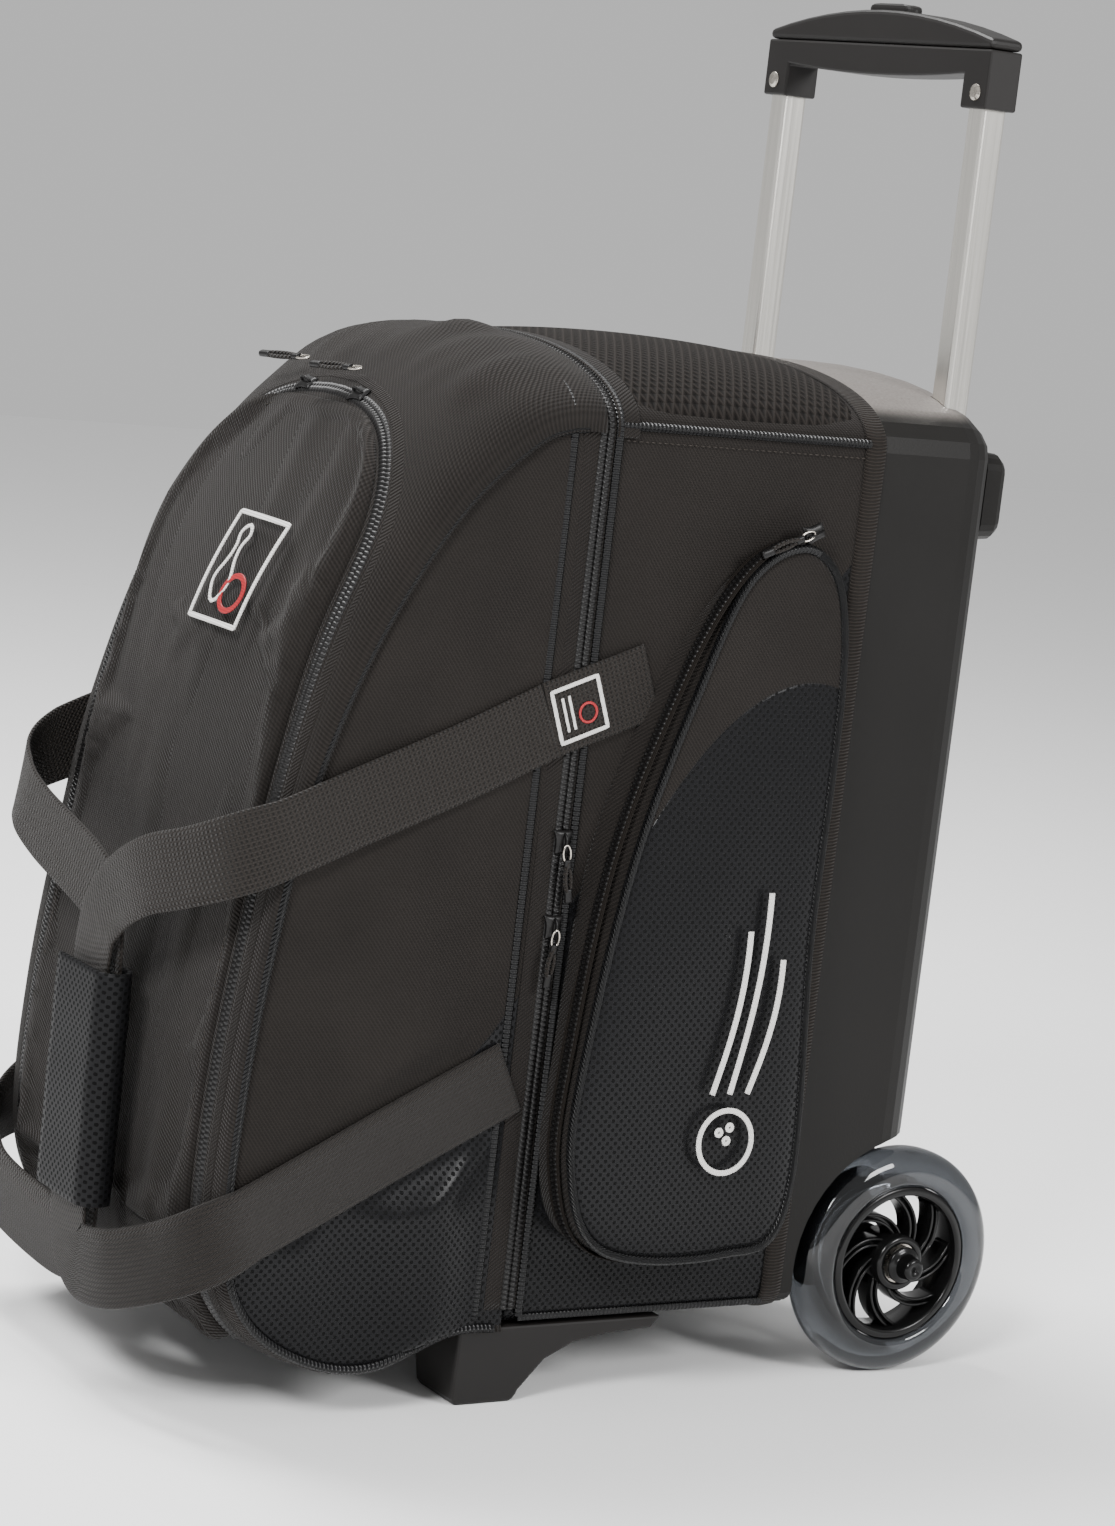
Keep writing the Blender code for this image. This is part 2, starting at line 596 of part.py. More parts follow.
def release_button():
    """Domed oval button on a wider flange that keeps it in the grip."""
    base = oval(BUTTON_LENGTH, BUTTON_WIDTH)
    wide = oval(BUTTON_LENGTH + 0.0050, BUTTON_WIDTH + 0.0038)
    flange_top = PARTING + 0.0077
    rings = [[Vector((x, y, z)) for x, y in points] for points, z in
             ((wide, PARTING + 0.0040), (wide, flange_top), (base, flange_top))]
    for share, drop in ((1.0, 0.0025), (0.97, 0.0012), (0.88, 0.0004), (0.70, 0.0)):
        rings.append([Vector((x * share, y * share, BUTTON_TOP - drop
                              - 0.0010 * (x / (BUTTON_LENGTH / 2)) ** 2)) for x, y in base])
    new_object("release_button", loft(rings), MATERIALS["grip"], (0, 0, PARTING))


def rod_place(side):
    return Vector((side * (TUBE_HALF_SPACING - 0.0034), 0, 0))


def release_yoke():
    """Cross bar under the button with the two long push rods that run down the tubes."""
    bar_top = PARTING - 0.0030
    bar = box((-0.0945, 0.0945), (-0.0036, 0.0036), (bar_top - 0.0030, bar_top))
    obj = new_object("release_yoke", bar, MATERIALS["steel"], (0, 0, PARTING))
    stem = box((-0.0060, 0.0060), (-0.0030, 0.0030), (bar_top - 0.001, PARTING + 0.0037))
    combine(obj, tool("yoke_stem", stem), "UNION")
    for side, word in ((1, "near"), (-1, "far")):
        p = rod_place(side)
        shaft = rod((p.x, 0, TUBE_BOTTOM + 0.0100), (p.x, 0, bar_top - 0.001), ROD_R, 12)
        combine(obj, tool("yoke_rod_" + word, shaft), "UNION")


def coil_spring():
    """Return spring under the yoke's middle, wound by a loop of small rings."""
    wire, radius, turns, steps = 0.0004, 0.0029, 4, 14
    low, high = GRIP_UNDER + 0.0020 + wire + 0.0002, PARTING - 0.0060 - wire - 0.0002
    rings = []
    for k in range(turns * steps + 1):
        a = 2 * math.pi * k / steps
        height = low + (high - low) * k / (turns * steps)
        centre = Vector((radius * math.cos(a), radius * math.sin(a), height))
        out = Vector((math.cos(a), math.sin(a), 0))
        rings.append([centre + wire * (out * math.cos(b) + Vector((0, 0, math.sin(b))))
                      for b in (2 * math.pi * j / 6 for j in range(6))])
    new_object("button_spring", loft(rings), MATERIALS["steel"], (0, 0, PARTING))


def lock_pins():
    for side, word in ((1, "near"), (-1, "far")):
        p = pin_place(side)
        tip = TUBE_Y / 2 + TUBE_FIT - 0.0002
        profile = [(-0.0020, 0.0002), (-0.0020, 0.0028), (0.0005, 0.0028), (0.0005, PIN_R),
                   (tip - 0.0006, PIN_R), (tip, PIN_R - 0.0006), (tip, 0.0002)]
        rings = []
        for k in range(20):
            a = 2 * math.pi * k / 20
            rings.append([p + Vector((r * math.cos(a), y, r * math.sin(a)))
                          for y, r in profile])
        new_object("lock_pin_" + word, loft(rings, loop=True), MATERIALS["steel"], p)


def handle_rivets():
    """One rivet through each socket and tube, with a domed head on both faces."""
    face = SOCKET_Y / 2 + 0.0002
    profile = [(-face - 0.0013, 0.0004), (-face - 0.0011, 0.0028), (-face - 0.0004, 0.0043),
               (-face, 0.0045), (-face, 0.0020), (face, 0.0020), (face, 0.0045),
               (face + 0.0004, 0.0043), (face + 0.0011, 0.0028), (face + 0.0013, 0.0004)]
    for side, word in ((1, "near"), (-1, "far")):
        x = pin_place(side).x
        rings = [[Vector((x + r * math.cos(a), y, RIVET_HEIGHT + r * math.sin(a)))
                  for a in (2 * math.pi * k / 20 for k in range(20))] for y, r in profile]
        new_object("handle_rivet_" + word, loft(rings), MATERIALS["steel"])


# ---------------------------------------------------------------- soft case, lid, pockets
def ball_case():
    """Padded sleeve round the ball bay, open at the shell and at the lid."""
    front, back = ZIP_Y + 0.0005, SHELL_FRONT - GAP
    rings = [case_section(front), case_section(back),
             case_section(back, PADDING), case_section(front, PADDING)]
    new_object("ball_case", loft(rings, loop=True), MATERIALS["fabric"])


def binding_tape():
    """Ribbed tape over the seam between the ball case and the shell."""
    low, high = SHELL_FRONT - 0.0060, SHELL_FRONT + 0.0070
    rings = [case_section(low, -0.0018), case_section(high, -0.0018),
             case_section(high, -GAP), case_section(low, -GAP)]
    new_object("shell_binding", loft(rings, loop=True), MATERIALS["webbing"])


def bay_fittings():
    """Inside the bay: floor board, back board and two foam ball cups."""
    floor = CASE_FLOOR + PADDING + GAP
    front, back = ZIP_Y + 0.004, TROUGH_Y - WELL_WALL - GAP
    board = box((-0.0840, 0.0840), (front, back), (floor, floor + 0.0040))
    new_object("floor_board", board, MATERIALS["board"])
    wall_y = -TUBE_Y / 2 - TUBE_FIT - GUIDE_WALL - 0.0015
    panel = box((0.0070 - CASE_HALF, CASE_HALF - 0.0070), (wall_y - 0.0030, wall_y), (WHEEL_R + WELL_R + 0.004, SIDE_TOP + 0.0070))
    new_object("back_board", panel, MATERIALS["board"])
    for word, height in (("lower", floor + 0.0045), ("upper", 0.2750)):
        slab = box((-0.1170, 0.1170), (-0.2250, -0.0900), (height, height + 0.0300))
        obj = new_object("ball_cup_" + word, slab, MATERIALS["foam"])
        hollow = bmesh.new()
        bmesh.ops.create_icosphere(hollow, subdivisions=3, radius=0.1090)
        bmesh.ops.translate(hollow, verts=hollow.verts[:],
                            vec=(0, (ZIP_Y + wall_y) / 2, height + 0.1085 + 0.0060))
        combine(obj, tool("cut_ball_" + word, hollow))


def lid_surface(lift, inset=0.0, first=0, last=None, half=CASE_HALF):
    """Rows of points over the lid: the side seam swept across with an arched section."""
    seam = spline([Vector(p) for p in LID_SEAM], LID_STEPS)
    count = len(seam)
    rows = []
    for i, p in enumerate(seam):
        a, b = seam[max(i - 1, 0)], seam[min(i + 1, count - 1)]
        along = Vector((b.x - a.x, b.y - a.y))
        along.normalize()
        normal = Vector((-along.y, along.x))
        if i == 0:
            normal = Vector((0, -1))
        if i == count - 1:
            normal = Vector((0, 1))
        rows.append((p, normal))
    grid = []
    for p, normal in rows[first:last]:
        base = Vector((p.x, p.y)) - normal * inset
        row = []
        for x, rise in arch(half - inset, max(p.z + lift, 0.0005)):
            q = base + normal * rise
            row.append(Vector((x, q.x, q.y)))
        grid.append(row)
    return grid


def lid_case():
    """Clamshell front: a hollow cover, open to the ball bay."""
    bm = bmesh.new()
    sheets = []
    for inset in (0.0, LID_WALL):
        grid = [[bm.verts.new(p) for p in row] for row in lid_surface(0.0, inset)]
        for a, b in zip(grid, grid[1:]):
            for k in range(len(a) - 1):
                bm.faces.new((a[k], a[k + 1], b[k + 1], b[k]))
        for col in (0, -1):
            bm.faces.new([row[col] for row in grid])
        sheets.append(grid)
    outer, inner = sheets
    for row in (0, -1):
        for k in range(len(outer[row]) - 1):
            bm.faces.new((outer[row][k], outer[row][k + 1], inner[row][k + 1], inner[row][k]))
    for col in (0, -1):
        bm.faces.new((outer[0][col], outer[-1][col], inner[-1][col], inner[0][col]))
    obj = new_object("lid_case", bm, MATERIALS["fabric"], (0, LID_HINGE_Y, LID_HINGE_Z))
    return obj


def slab(outer, inner):
    """Closed sheet between two grids of points."""
    bm = bmesh.new()
    top = [[bm.verts.new(p) for p in row] for row in outer]
    low = [[bm.verts.new(p) for p in row] for row in inner]
    rows, cols = len(top), len(top[0])
    for i in range(rows - 1):
        for k in range(cols - 1):
            bm.faces.new((top[i][k], top[i][k + 1], top[i + 1][k + 1], top[i + 1][k]))
            bm.faces.new((low[i][k], low[i + 1][k], low[i + 1][k + 1], low[i][k + 1]))
    edge = [(0, k) for k in range(cols)] + [(i, cols - 1) for i in range(1, rows)]
    edge += [(rows - 1, k) for k in range(cols - 2, -1, -1)] + [(i, 0) for i in range(rows - 2, 0, -1)]
    for (a, b), (c, d) in zip(edge, edge[1:] + edge[:1]):
        bm.faces.new((top[a][b], low[a][b], low[c][d], top[c][d]))
    return bm


def front_pocket():
    """Zipped front panel that stands off the lid's front."""
    first, last = 5 * LID_STEPS, 10 * LID_STEPS + 2
    outer = lid_surface(0.0075, 0.0, first, last)
    inner = lid_surface(0.0008, 0.0, first, last)
    keep = slice(3, -3)
    bm = slab([row[keep] for row in outer], [row[keep] for row in inner])
    new_object("front_pocket", bm, MATERIALS["fabric"], (0, LID_HINGE_Y, LID_HINGE_Z))


def lid_apron():
    """Strip of bottom cloth from the ball case to the line the lid folds on."""
    seam = [p for p in spline([Vector(p) for p in LID_SEAM], LID_STEPS)
            if p.x > LID_HINGE_Y + 0.028 and p.y < LID_HINGE_Z + 0.020]
    drop = 0.0078
    upper = [(p.x, p.y - drop) for p in seam]
    lower = [(p.x, p.y - drop - 0.0016) for p in seam]
    start = [(ZIP_Y + 0.020, CASE_FLOOR - GAP), (ZIP_Y + 0.020, CASE_FLOOR - GAP - 0.0016)]
    points = [start[0]] + upper + lower[::-1] + [start[1]]
    new_object("lid_apron", prism(points, "X", -0.0640, 0.0640), MATERIALS["fabric"])


def zip_band(name, y0, y1, floor, pivot=(0, 0, 0)):
    """Zipper tape up one side, over the top and down the other side."""
    def path(inset, y):
        half = CASE_HALF - inset
        top = [Vector((x, y, SIDE_TOP + z)) for x, z in arch(half, TOP_RISE - inset)]
        return [Vector((half, y, floor))] + top + [Vector((-half, y, floor))]
    outer, inner = path(-0.0013, y0), path(-GAP, y0)
    rings = [[a, b, b + Vector((0, y1 - y0, 0)), a + Vector((0, y1 - y0, 0))]
             for a, b in zip(outer, inner)]
    new_object(name, loft(rings), MATERIALS["zipper"], pivot)


def main_zipper():
    zip_band("main_zip_rear", ZIP_Y + 0.0002, ZIP_Y + 0.0050, CASE_FLOOR + 0.012)
    zip_band("main_zip_front", ZIP_Y - 0.0100, ZIP_Y - 0.0018, CASE_FLOOR + 0.012,
             (0, LID_HINGE_Y, LID_HINGE_Z))
    for word, z in zip(("upper", "lower"), SLIDER_Z):
        face = CASE_HALF + 0.0017
        body = [(y + ZIP_Y, z + h) for y, h in rounded_rect(0.0090, 0.0130, 0.0030)]
        place = Vector((face, ZIP_Y, z))
        new_object("main_slider_" + word, prism(body, "X", face, face + 0.0035),
                   MATERIALS["zipper"], place)
        pull_tab("main_pull_" + word, Vector((face + 0.0060, ZIP_Y, z - 0.0010)), 0.030)


def pull_tab(name, pivot, length, swing=None):
    """Flat pull that hangs from its slider's bridge, with a hole at the top."""
    outline = [(y, -length / 2 + 0.002 + h) for y, h in rounded_rect(0.0060, length, 0.0028)]
    bm = prism([(pivot.y + y, pivot.z + h) for y, h in outline], "X",
               pivot.x - 0.0008, pivot.x + 0.0008)
    if swing:
        turn = Matrix.Translation(pivot) @ swing @ Matrix.Translation(-pivot)
        bmesh.ops.transform(bm, matrix=turn, verts=bm.verts[:])
    return new_object(name, bm, MATERIALS["zipper"], pivot)


def pocket_depth(z):
    share = (z - 0.0840) / (0.4580 - 0.0840)
    return POCKET_DEPTH_LOW + (POCKET_DEPTH_TOP - POCKET_DEPTH_LOW) * share


def pocket_rings(side, wall):
    """Side pocket rings from its closed outer face to its open back."""
    outline = spline([Vector(p) for p in POCKET_OUTLINE], 3, closed=True)
    middle = sum(outline, Vector((0, 0))) / len(outline)
    rings = []
    back = CASE_HALF + 0.0006
    steps = ((1.0, 0.70), (0.985, 0.88), (0.90, 0.965), (0.60, 0.995), (0.0, 1.0))
    for depth_share, spread in steps:
        ring = []
        for p in outline:
            reach = (p - middle).length
            q = middle + (p - middle) * (spread * (reach - wall) / reach)
            depth = (pocket_depth(q.y) - wall) * depth_share
            ring.append(Vector((side * (back + depth), q.x, q.y)))
        rings.append(ring)
    return rings


def side_pockets():
    for side, word in ((1, "near"), (-1, "far")):
        bm = cup(pocket_rings(side, 0.0), pocket_rings(side, POCKET_WALL))
        new_object("side_pocket_" + word, bm, MATERIALS["vinyl"])
        z = 0.4520
        face = side * (CASE_HALF + 0.0100)
        y = -0.1120
        body = [(y + a, z + 0.0130 + b) for a, b in rounded_rect(0.0100, 0.0070, 0.0025)]
        ends = sorted((face, face + side * 0.0035))
        new_object("side_slider_" + word, prism(body, "X", *ends), MATERIALS["zipper"])
        pivot = Vector((face + side * 0.0060, y - 0.002, z + 0.0135))
        swing = Matrix.Rotation(math.radians(-68), 4, "X")
        pull_tab("side_pull_" + word, pivot, 0.0300, swing)


def front_pulls():
    """Two sliders at the top of the front pocket, pulls lying towards the viewer."""
    grid = lid_surface(0.0095)
    for word, col in (("near", 7), ("far", 9)):
        p = grid[10 * LID_STEPS + 1][col]
        hold = Vector((p.x, p.y, p.z + 0.0062))
        swing = Matrix.Rotation(math.radians(90), 4, "Y")
        pull_tab("front_pull_" + word, hold, 0.0280, swing)


def top_pocket():
    """Flat knitted pocket panel that lies over the rear of the ball case's arched top."""
    low, high = SHELL_FRONT - 0.0080, ZIP_Y + 0.0110
    def strip(inset, y):
        return [Vector((x, y, SIDE_TOP + z)) for x, z in arch(CASE_HALF - inset, TOP_RISE - inset)]
    cut = slice(1, -1)
    outer = [strip(-0.0060 if 0 < k < 4 else -0.0030, high + (low - high) * k / 4)[cut]
             for k in range(5)]
    inner = [strip(-0.0008, high + (low - high) * k / 4)[cut] for k in range(5)]
    new_object("top_pocket", slab(outer, inner), MATERIALS["fabric"])


# ---------------------------------------------------------------- straps
def strap_route(side):
    """Carrying strap's middle line with its outward directions, upper end first."""
    near = side > 0
    out_y = GRIP_WRAP_Y + (-0.0030 if near else 0.0030)
    hand = GRIP_WRAP_X * side
    x = STRAP_FACE
    route = [
        (x, STRAP_HINGE_Y - 0.0020, 0.3620), (x, -0.3000, 0.3400), (x + 0.002, -0.3550, 0.3180),
        (x + 0.002, -0.3930, 0.3020), (x - 0.008, -0.4200, 0.2900), (0.0980, -0.4320, 0.2800),
        (0.0680, out_y, 0.2690), (hand + 0.014, out_y, 0.2500), (hand, out_y, 0.2260),
        (hand, out_y, 0.1550), (hand, out_y, 0.0860), (hand + 0.014, out_y, 0.0660),
        (0.0680, out_y, 0.0690), (0.0980, -0.4320, 0.0800), (x - 0.006, -0.4200, 0.0930),
        (x + 0.002, -0.3980, 0.1060), (x + 0.002, -0.3600, 0.1250), (x, -0.3050, 0.1520),
        (x, STRAP_HINGE_Y - 0.0020, 0.1780),
    ]
    path = spline([Vector(p) for p in route], 4)
    normals = []
    for p in path:
        forward = min(max((-p.y - 0.395) / 0.036, 0.0), 1.0)
        turn = forward * math.pi / 2
        normals.append(Vector((side * math.cos(turn), -math.sin(turn), 0)))
    return mirror_x(path, side), normals


def straps():
    for side, word in ((1, "near"), (-1, "far")):
        path, normals = strap_route(side)
        pivot = (side * STRAP_FACE, STRAP_HINGE_Y, 0.2700)
        new_object("strap_" + word, ribbon(path, normals, STRAP_WIDTH, STRAP_THICK),
                   MATERIALS["webbing"], pivot)
        start = Vector((side * STRAP_FACE, STRAP_HINGE_Y + 0.0010, 0.3630))
        end = Vector((side * STRAP_FACE, -0.2050, 0.3800))
        tab = ribbon([start, (start + end) / 2, end], [Vector((side, 0, 0))] * 3,
                     STRAP_WIDTH, STRAP_THICK)
        new_object("strap_end_" + word, tab, MATERIALS["webbing"])


def grip_wrap():
    """Folded hand pad round both straps, open on its far edge."""
    x0, x1 = GRIP_WRAP_X - WRAP_WIDTH / 2, GRIP_WRAP_X + WRAP_WIDTH / 2
    y0, y1 = GRIP_WRAP_Y - WRAP_SLOT / 2, GRIP_WRAP_Y + WRAP_SLOT / 2
    t = WRAP_WALL
    fold = arc(x1 - WRAP_SLOT / 2 - t, GRIP_WRAP_Y, WRAP_SLOT / 2 + t, -90, 90, 8)
    inner = arc(x1 - WRAP_SLOT / 2 - t, GRIP_WRAP_Y, WRAP_SLOT / 2, 90, -90, 8)
    points = [(x0, y0 - t)] + fold + [(x0, y1 + t), (x0, y1)] + inner + [(x0, y0)]
    pivot = (STRAP_FACE, STRAP_HINGE_Y, 0.2700)
    new_object("grip_wrap", prism(points, "Z", GRIP_WRAP_BASE, GRIP_WRAP_TOP),
               MATERIALS["vinyl"], pivot)


# ---------------------------------------------------------------- build
def clear_scene():
    for obj in list(bpy.data.objects):
        bpy.data.objects.remove(obj, do_unlink=True)


def build():
    back_shell()
    wheel_carrier()
    back_skids()
    front_feet()
    wheels()
    guide_tubes()
    tube_bracket()
    inner_tubes()
    grip_lower()
    grip_upper()
    release_button()
    release_yoke()
    coil_spring()
    lock_pins()
    handle_rivets()
    ball_case()
    binding_tape()
    bay_fittings()
    lid_case()
    front_pocket()
    lid_apron()
    main_zipper()
    side_pockets()
    front_pulls()
    top_pocket()
    straps()
    grip_wrap()


clear_scene()
BAG = bpy.data.objects.new("bag", None)
BAG.location = (0, CENTRE_SHIFT, 0)
bpy.context.collection.objects.link(BAG)
MATERIALS = {name: make_material(name) for name in PALETTE}
build()
bpy.context.view_layer.update()
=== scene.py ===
"""Finish of a two-ball bowling roller bag, laid out as an add-on and run as a script."""

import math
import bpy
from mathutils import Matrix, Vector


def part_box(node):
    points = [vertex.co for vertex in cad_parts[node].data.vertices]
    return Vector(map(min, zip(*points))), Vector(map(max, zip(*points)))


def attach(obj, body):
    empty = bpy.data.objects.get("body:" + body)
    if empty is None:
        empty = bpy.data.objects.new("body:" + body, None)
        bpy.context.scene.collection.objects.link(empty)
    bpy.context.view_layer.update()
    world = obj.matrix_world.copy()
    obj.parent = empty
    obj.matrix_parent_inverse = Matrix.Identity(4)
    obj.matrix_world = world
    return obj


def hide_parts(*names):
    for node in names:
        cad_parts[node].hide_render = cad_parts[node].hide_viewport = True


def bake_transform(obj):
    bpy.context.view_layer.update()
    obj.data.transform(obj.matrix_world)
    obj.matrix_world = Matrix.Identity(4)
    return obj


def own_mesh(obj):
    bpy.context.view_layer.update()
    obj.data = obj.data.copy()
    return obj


bl_info = {
    "name": "Bowling roller bag finish",
    "version": (1, 0, 0),
    "blender": (4, 5, 0),
    "location": "View3D > Sidebar > Roller bag",
    "description": "Builds cloth, piping, zippers, webbing and finishes over the packed bag",
    "category": "Object",
}

import bpy
import numpy as np
from mathutils import Matrix, Vector

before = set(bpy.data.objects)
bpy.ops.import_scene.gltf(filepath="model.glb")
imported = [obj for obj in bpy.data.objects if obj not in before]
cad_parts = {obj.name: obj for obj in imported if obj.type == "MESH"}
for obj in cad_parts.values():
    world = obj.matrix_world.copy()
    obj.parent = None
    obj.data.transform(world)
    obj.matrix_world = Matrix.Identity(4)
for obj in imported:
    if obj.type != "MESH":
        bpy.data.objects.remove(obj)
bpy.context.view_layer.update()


# ---------------------------------------------------------------- places from the frame
def low(node):
    return np.array(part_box(node)[0])


def high(node):
    return np.array(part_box(node)[1])


def middle(node):
    return (low(node) + high(node)) / 2


TUBE_PLANE = middle("inner_tube_near")[1]      # every design y below is from this plane
HALF = high("ball_case")[0]                    # half width of case, lid and shell
FLOOR = low("ball_case")[2]
CASE_TOP = high("ball_case")[2]
RISE = 0.038                                   # rise of the arched top
SIDE_TOP = CASE_TOP - RISE
ARCH = 2.2                                     # superellipse power of the arched top
ZIP_Y = high("lid_case")[1] + 0.0015
SHELL_FRONT = high("ball_case")[1]
WHEEL = middle("wheel_tyre_near")
WHEEL_R = high("wheel_tyre_near")[2] - WHEEL[2]
WHEEL_HALF = high("wheel_tyre_near")[0] - WHEEL[0]
HUB_R = (high("wheel_hub_near") - WHEEL)[2]
STRAP_X = middle("strap_end_near")[0]
STRAP_HINGE_Y = low("strap_end_near")[1]
SIDES = ((1, "near"), (-1, "far"))

# lid's side seam from the lower rear corner round the front to the upper rear corner:
# (y from the tube plane, z, how far the panel's middle stands out from the seam)
LID_SEAM = (
    (-0.2385, 0.0448, 0.0010), (-0.2700, 0.0445, 0.0020), (-0.3150, 0.0290, 0.0040),
    (-0.3540, 0.0350, 0.0060), (-0.3880, 0.0580, 0.0080), (-0.4030, 0.0980, 0.0090),
    (-0.4020, 0.1750, 0.0090), (-0.3930, 0.2550, 0.0090), (-0.3790, 0.3300, 0.0140),
    (-0.3520, 0.4020, 0.0270), (-0.3140, 0.4640, 0.0350), (-0.2780, 0.4980, 0.0380),
    (-0.2580, 0.5070, 0.0380), (-0.2385, 0.5080, 0.0380),
)
# side pocket's outline on the side wall (y from the tube plane, z)
POCKET_OUTLINE = (
    (-0.1080, 0.4580), (-0.1480, 0.4440), (-0.1780, 0.3800), (-0.2080, 0.2950),
    (-0.2250, 0.2050), (-0.2290, 0.1350), (-0.2050, 0.0900), (-0.1300, 0.0840),
    (-0.0900, 0.1080), (-0.0880, 0.2500), (-0.0860, 0.4100),
)


# ---------------------------------------------------------------- settings
def linear(code):
    """Linear RGB from an sRGB hex code."""
    channels = [int(code[i:i + 2], 16) / 255 for i in (1, 3, 5)]
    return tuple(c / 12.92 if c <= 0.04045 else ((c + 0.055) / 1.055) ** 2.4 for c in channels)


def size_prop(name, description, default):
    return bpy.props.FloatProperty(name=name, description=description, default=default,
                                   unit="LENGTH", precision=5)


def colour_prop(name, description, code):
    return bpy.props.FloatVectorProperty(name=name, description=description, subtype="COLOR",
                                         size=3, min=0, max=1, default=linear(code))


class RollerBagSizes(bpy.types.PropertyGroup):
    piping_radius: size_prop("Piping radius", "Half the thickness of the seam piping", 0.0023)
    coil_pitch: size_prop("Coil pitch", "Distance from one zipper coil to the next", 0.0027)
    coil_width: size_prop("Coil width", "Width of one half of the zipper's coil", 0.0040)
    webbing_thickness: size_prop("Webbing thickness", "Thickness of straps", 0.0022)
    strap_width: size_prop("Strap width", "Width of the carrying straps", 0.0400)
    padding: size_prop("Padding", "Thickness of the padded cloth", 0.0035)
    vinyl_pitch: size_prop("Vinyl dot pitch", "Distance between embossed dots", 0.0031)
    weave_pitch: size_prop("Twill pitch", "Distance between twill lines, drawn coarse", 0.0017)


class RollerBagColours(bpy.types.PropertyGroup):
    cloth: colour_prop("Cloth", "Polyester twill", "#1d1a18")
    vinyl: colour_prop("Vinyl", "Embossed vinyl", "#09090a")
    webbing: colour_prop("Webbing", "Straps and binding", "#1e1a17")
    coil: colour_prop("Zipper", "Coils and sliders", "#0e0d0d")
    shell: colour_prop("Shell", "Moulded back shell", "#171615")
    grip: colour_prop("Grip", "Handle grip and feet", "#151312")
    metal: colour_prop("Tubes", "Anodised tubes", "#f3f0e9")
    tyre: colour_prop("Tyre", "Clear wheel rubber", "#45484c")
    hub: colour_prop("Hub", "Wheel hub", "#0c0c0c")
    thread: colour_prop("Embroidery", "Embroidery thread", "#eceae6")
    floor: colour_prop("Floor", "Studio floor", "#fbfbfb")


def sizes():
    return bpy.context.scene.roller_bag_sizes


def colours():
    return bpy.context.scene.roller_bag_colours


# ---------------------------------------------------------------- curves and surfaces
def path_length(path):
    return np.linalg.norm(np.diff(path, axis=0), axis=1).sum()


def resample(points, count):
    """Same polyline with evenly spaced points: linear in arc length."""
    points = np.asarray(points, float)
    run = np.concatenate(([0], np.cumsum(np.linalg.norm(np.diff(points[:, :3], axis=0), axis=1))))
    at = np.linspace(0, run[-1], count)
    return np.stack([np.interp(at, run, points[:, k]) for k in range(points.shape[1])], 1)


def curve(points, count, closed=False):
    """Catmull-Rom curve: half of (2b + (c-a)t + (2a-5b+4c-d)t2 + (3b-a-3c+d)t3)."""
    p = np.asarray(points, float)
    p = np.vstack([p[-1:], p, p[:2]]) if closed else np.vstack([p[:1], p, p[-1:]])
    t = np.linspace(0, 1, 24, endpoint=False)[None, :, None]
    a, b, c, d = (p[k:len(p) - 3 + k, None, :] for k in range(4))
    dense = 0.5 * (2 * b + (c - a) * t + (2 * a - 5 * b + 4 * c - d) * t ** 2
                   + (3 * b - a - 3 * c + d) * t ** 3)
    dense = np.vstack([dense.reshape(-1, p.shape[1]), p[-2:-1]])
    return resample(dense, count)


def spans(points, axis):
    """Arc length along one axis of a grid of points, starting at 0."""
    steps = np.linalg.norm(np.diff(points, axis=axis), axis=2)
    pad = np.zeros_like(points[:1, :, 0] if axis == 0 else points[:, :1, 0])
    return np.cumsum(np.concatenate([pad, steps], axis=axis), axis=axis)


def new_mesh(name, points, faces, uv, material):
    mesh = bpy.data.meshes.new(name)
    mesh.from_pydata(points.tolist(), [], faces)
    layer = mesh.uv_layers.new(name="metres")
    layer.data.foreach_set("uv", np.asarray(uv, np.float32).ravel())
    mesh.polygons.foreach_set("use_smooth", np.ones(len(mesh.polygons), bool))
    mesh.materials.append(material)
    mesh.update()
    obj = bpy.data.objects.new(name, mesh)
    bpy.context.collection.objects.link(obj)
    return obj


def surface(name, points, material, wrap_rows=False, wrap_cols=False, caps=False, flip=False,
            flat=None):
    """Grid of points (rows, columns, 3) as quads; UV is arc length or `flat`, in metres."""
    if wrap_rows:
        points = np.concatenate([points, points[:1]], 0)
    if wrap_cols:
        points = np.concatenate([points, points[:, :1]], 1)
    rows, cols = points.shape[:2]
    uv = np.stack([spans(points, 0), spans(points, 1)] if flat is None
                  else np.broadcast_arrays(*flat), 2)
    i, j = np.meshgrid(np.arange(rows - 1), np.arange(cols - 1), indexing="ij")
    corner = [(i, j), (i, j + 1), (i + 1, j + 1), (i + 1, j)]
    if flip:
        corner = corner[::-1]
    real_rows, real_cols = rows - wrap_rows, cols - wrap_cols
    index = [(a % real_rows) * real_cols + (b % real_cols) for a, b in corner]
    faces = np.stack(index, -1).reshape(-1, 4).tolist()
    loops = np.stack([uv[a, b] for a, b in corner], -2).reshape(-1, 2)
    if caps:
        first = list(range(real_cols))
        last = [(real_rows - 1) * real_cols + k for k in range(real_cols)]
        faces += [first, last[::-1]] if flip else [first[::-1], last]
        loops = np.vstack([loops, np.zeros((2 * real_cols, 2))])
    verts = points[:real_rows, :real_cols].reshape(-1, 3)
    return new_mesh(name, verts, faces, loops, material)


def frames(path, out, closed=False):
    """Unit tangent, outward and sideways directions along a path."""
    if closed:
        along = np.roll(path, -1, 0) - np.roll(path, 1, 0)
    else:
        along = np.gradient(path, axis=0)
    along /= np.linalg.norm(along, axis=1, keepdims=True)
    out = np.broadcast_to(np.asarray(out, float), path.shape)
    out = out - along * (out * along).sum(1, keepdims=True)
    out /= np.linalg.norm(out, axis=1, keepdims=True)
    return along, out, np.cross(along, out)


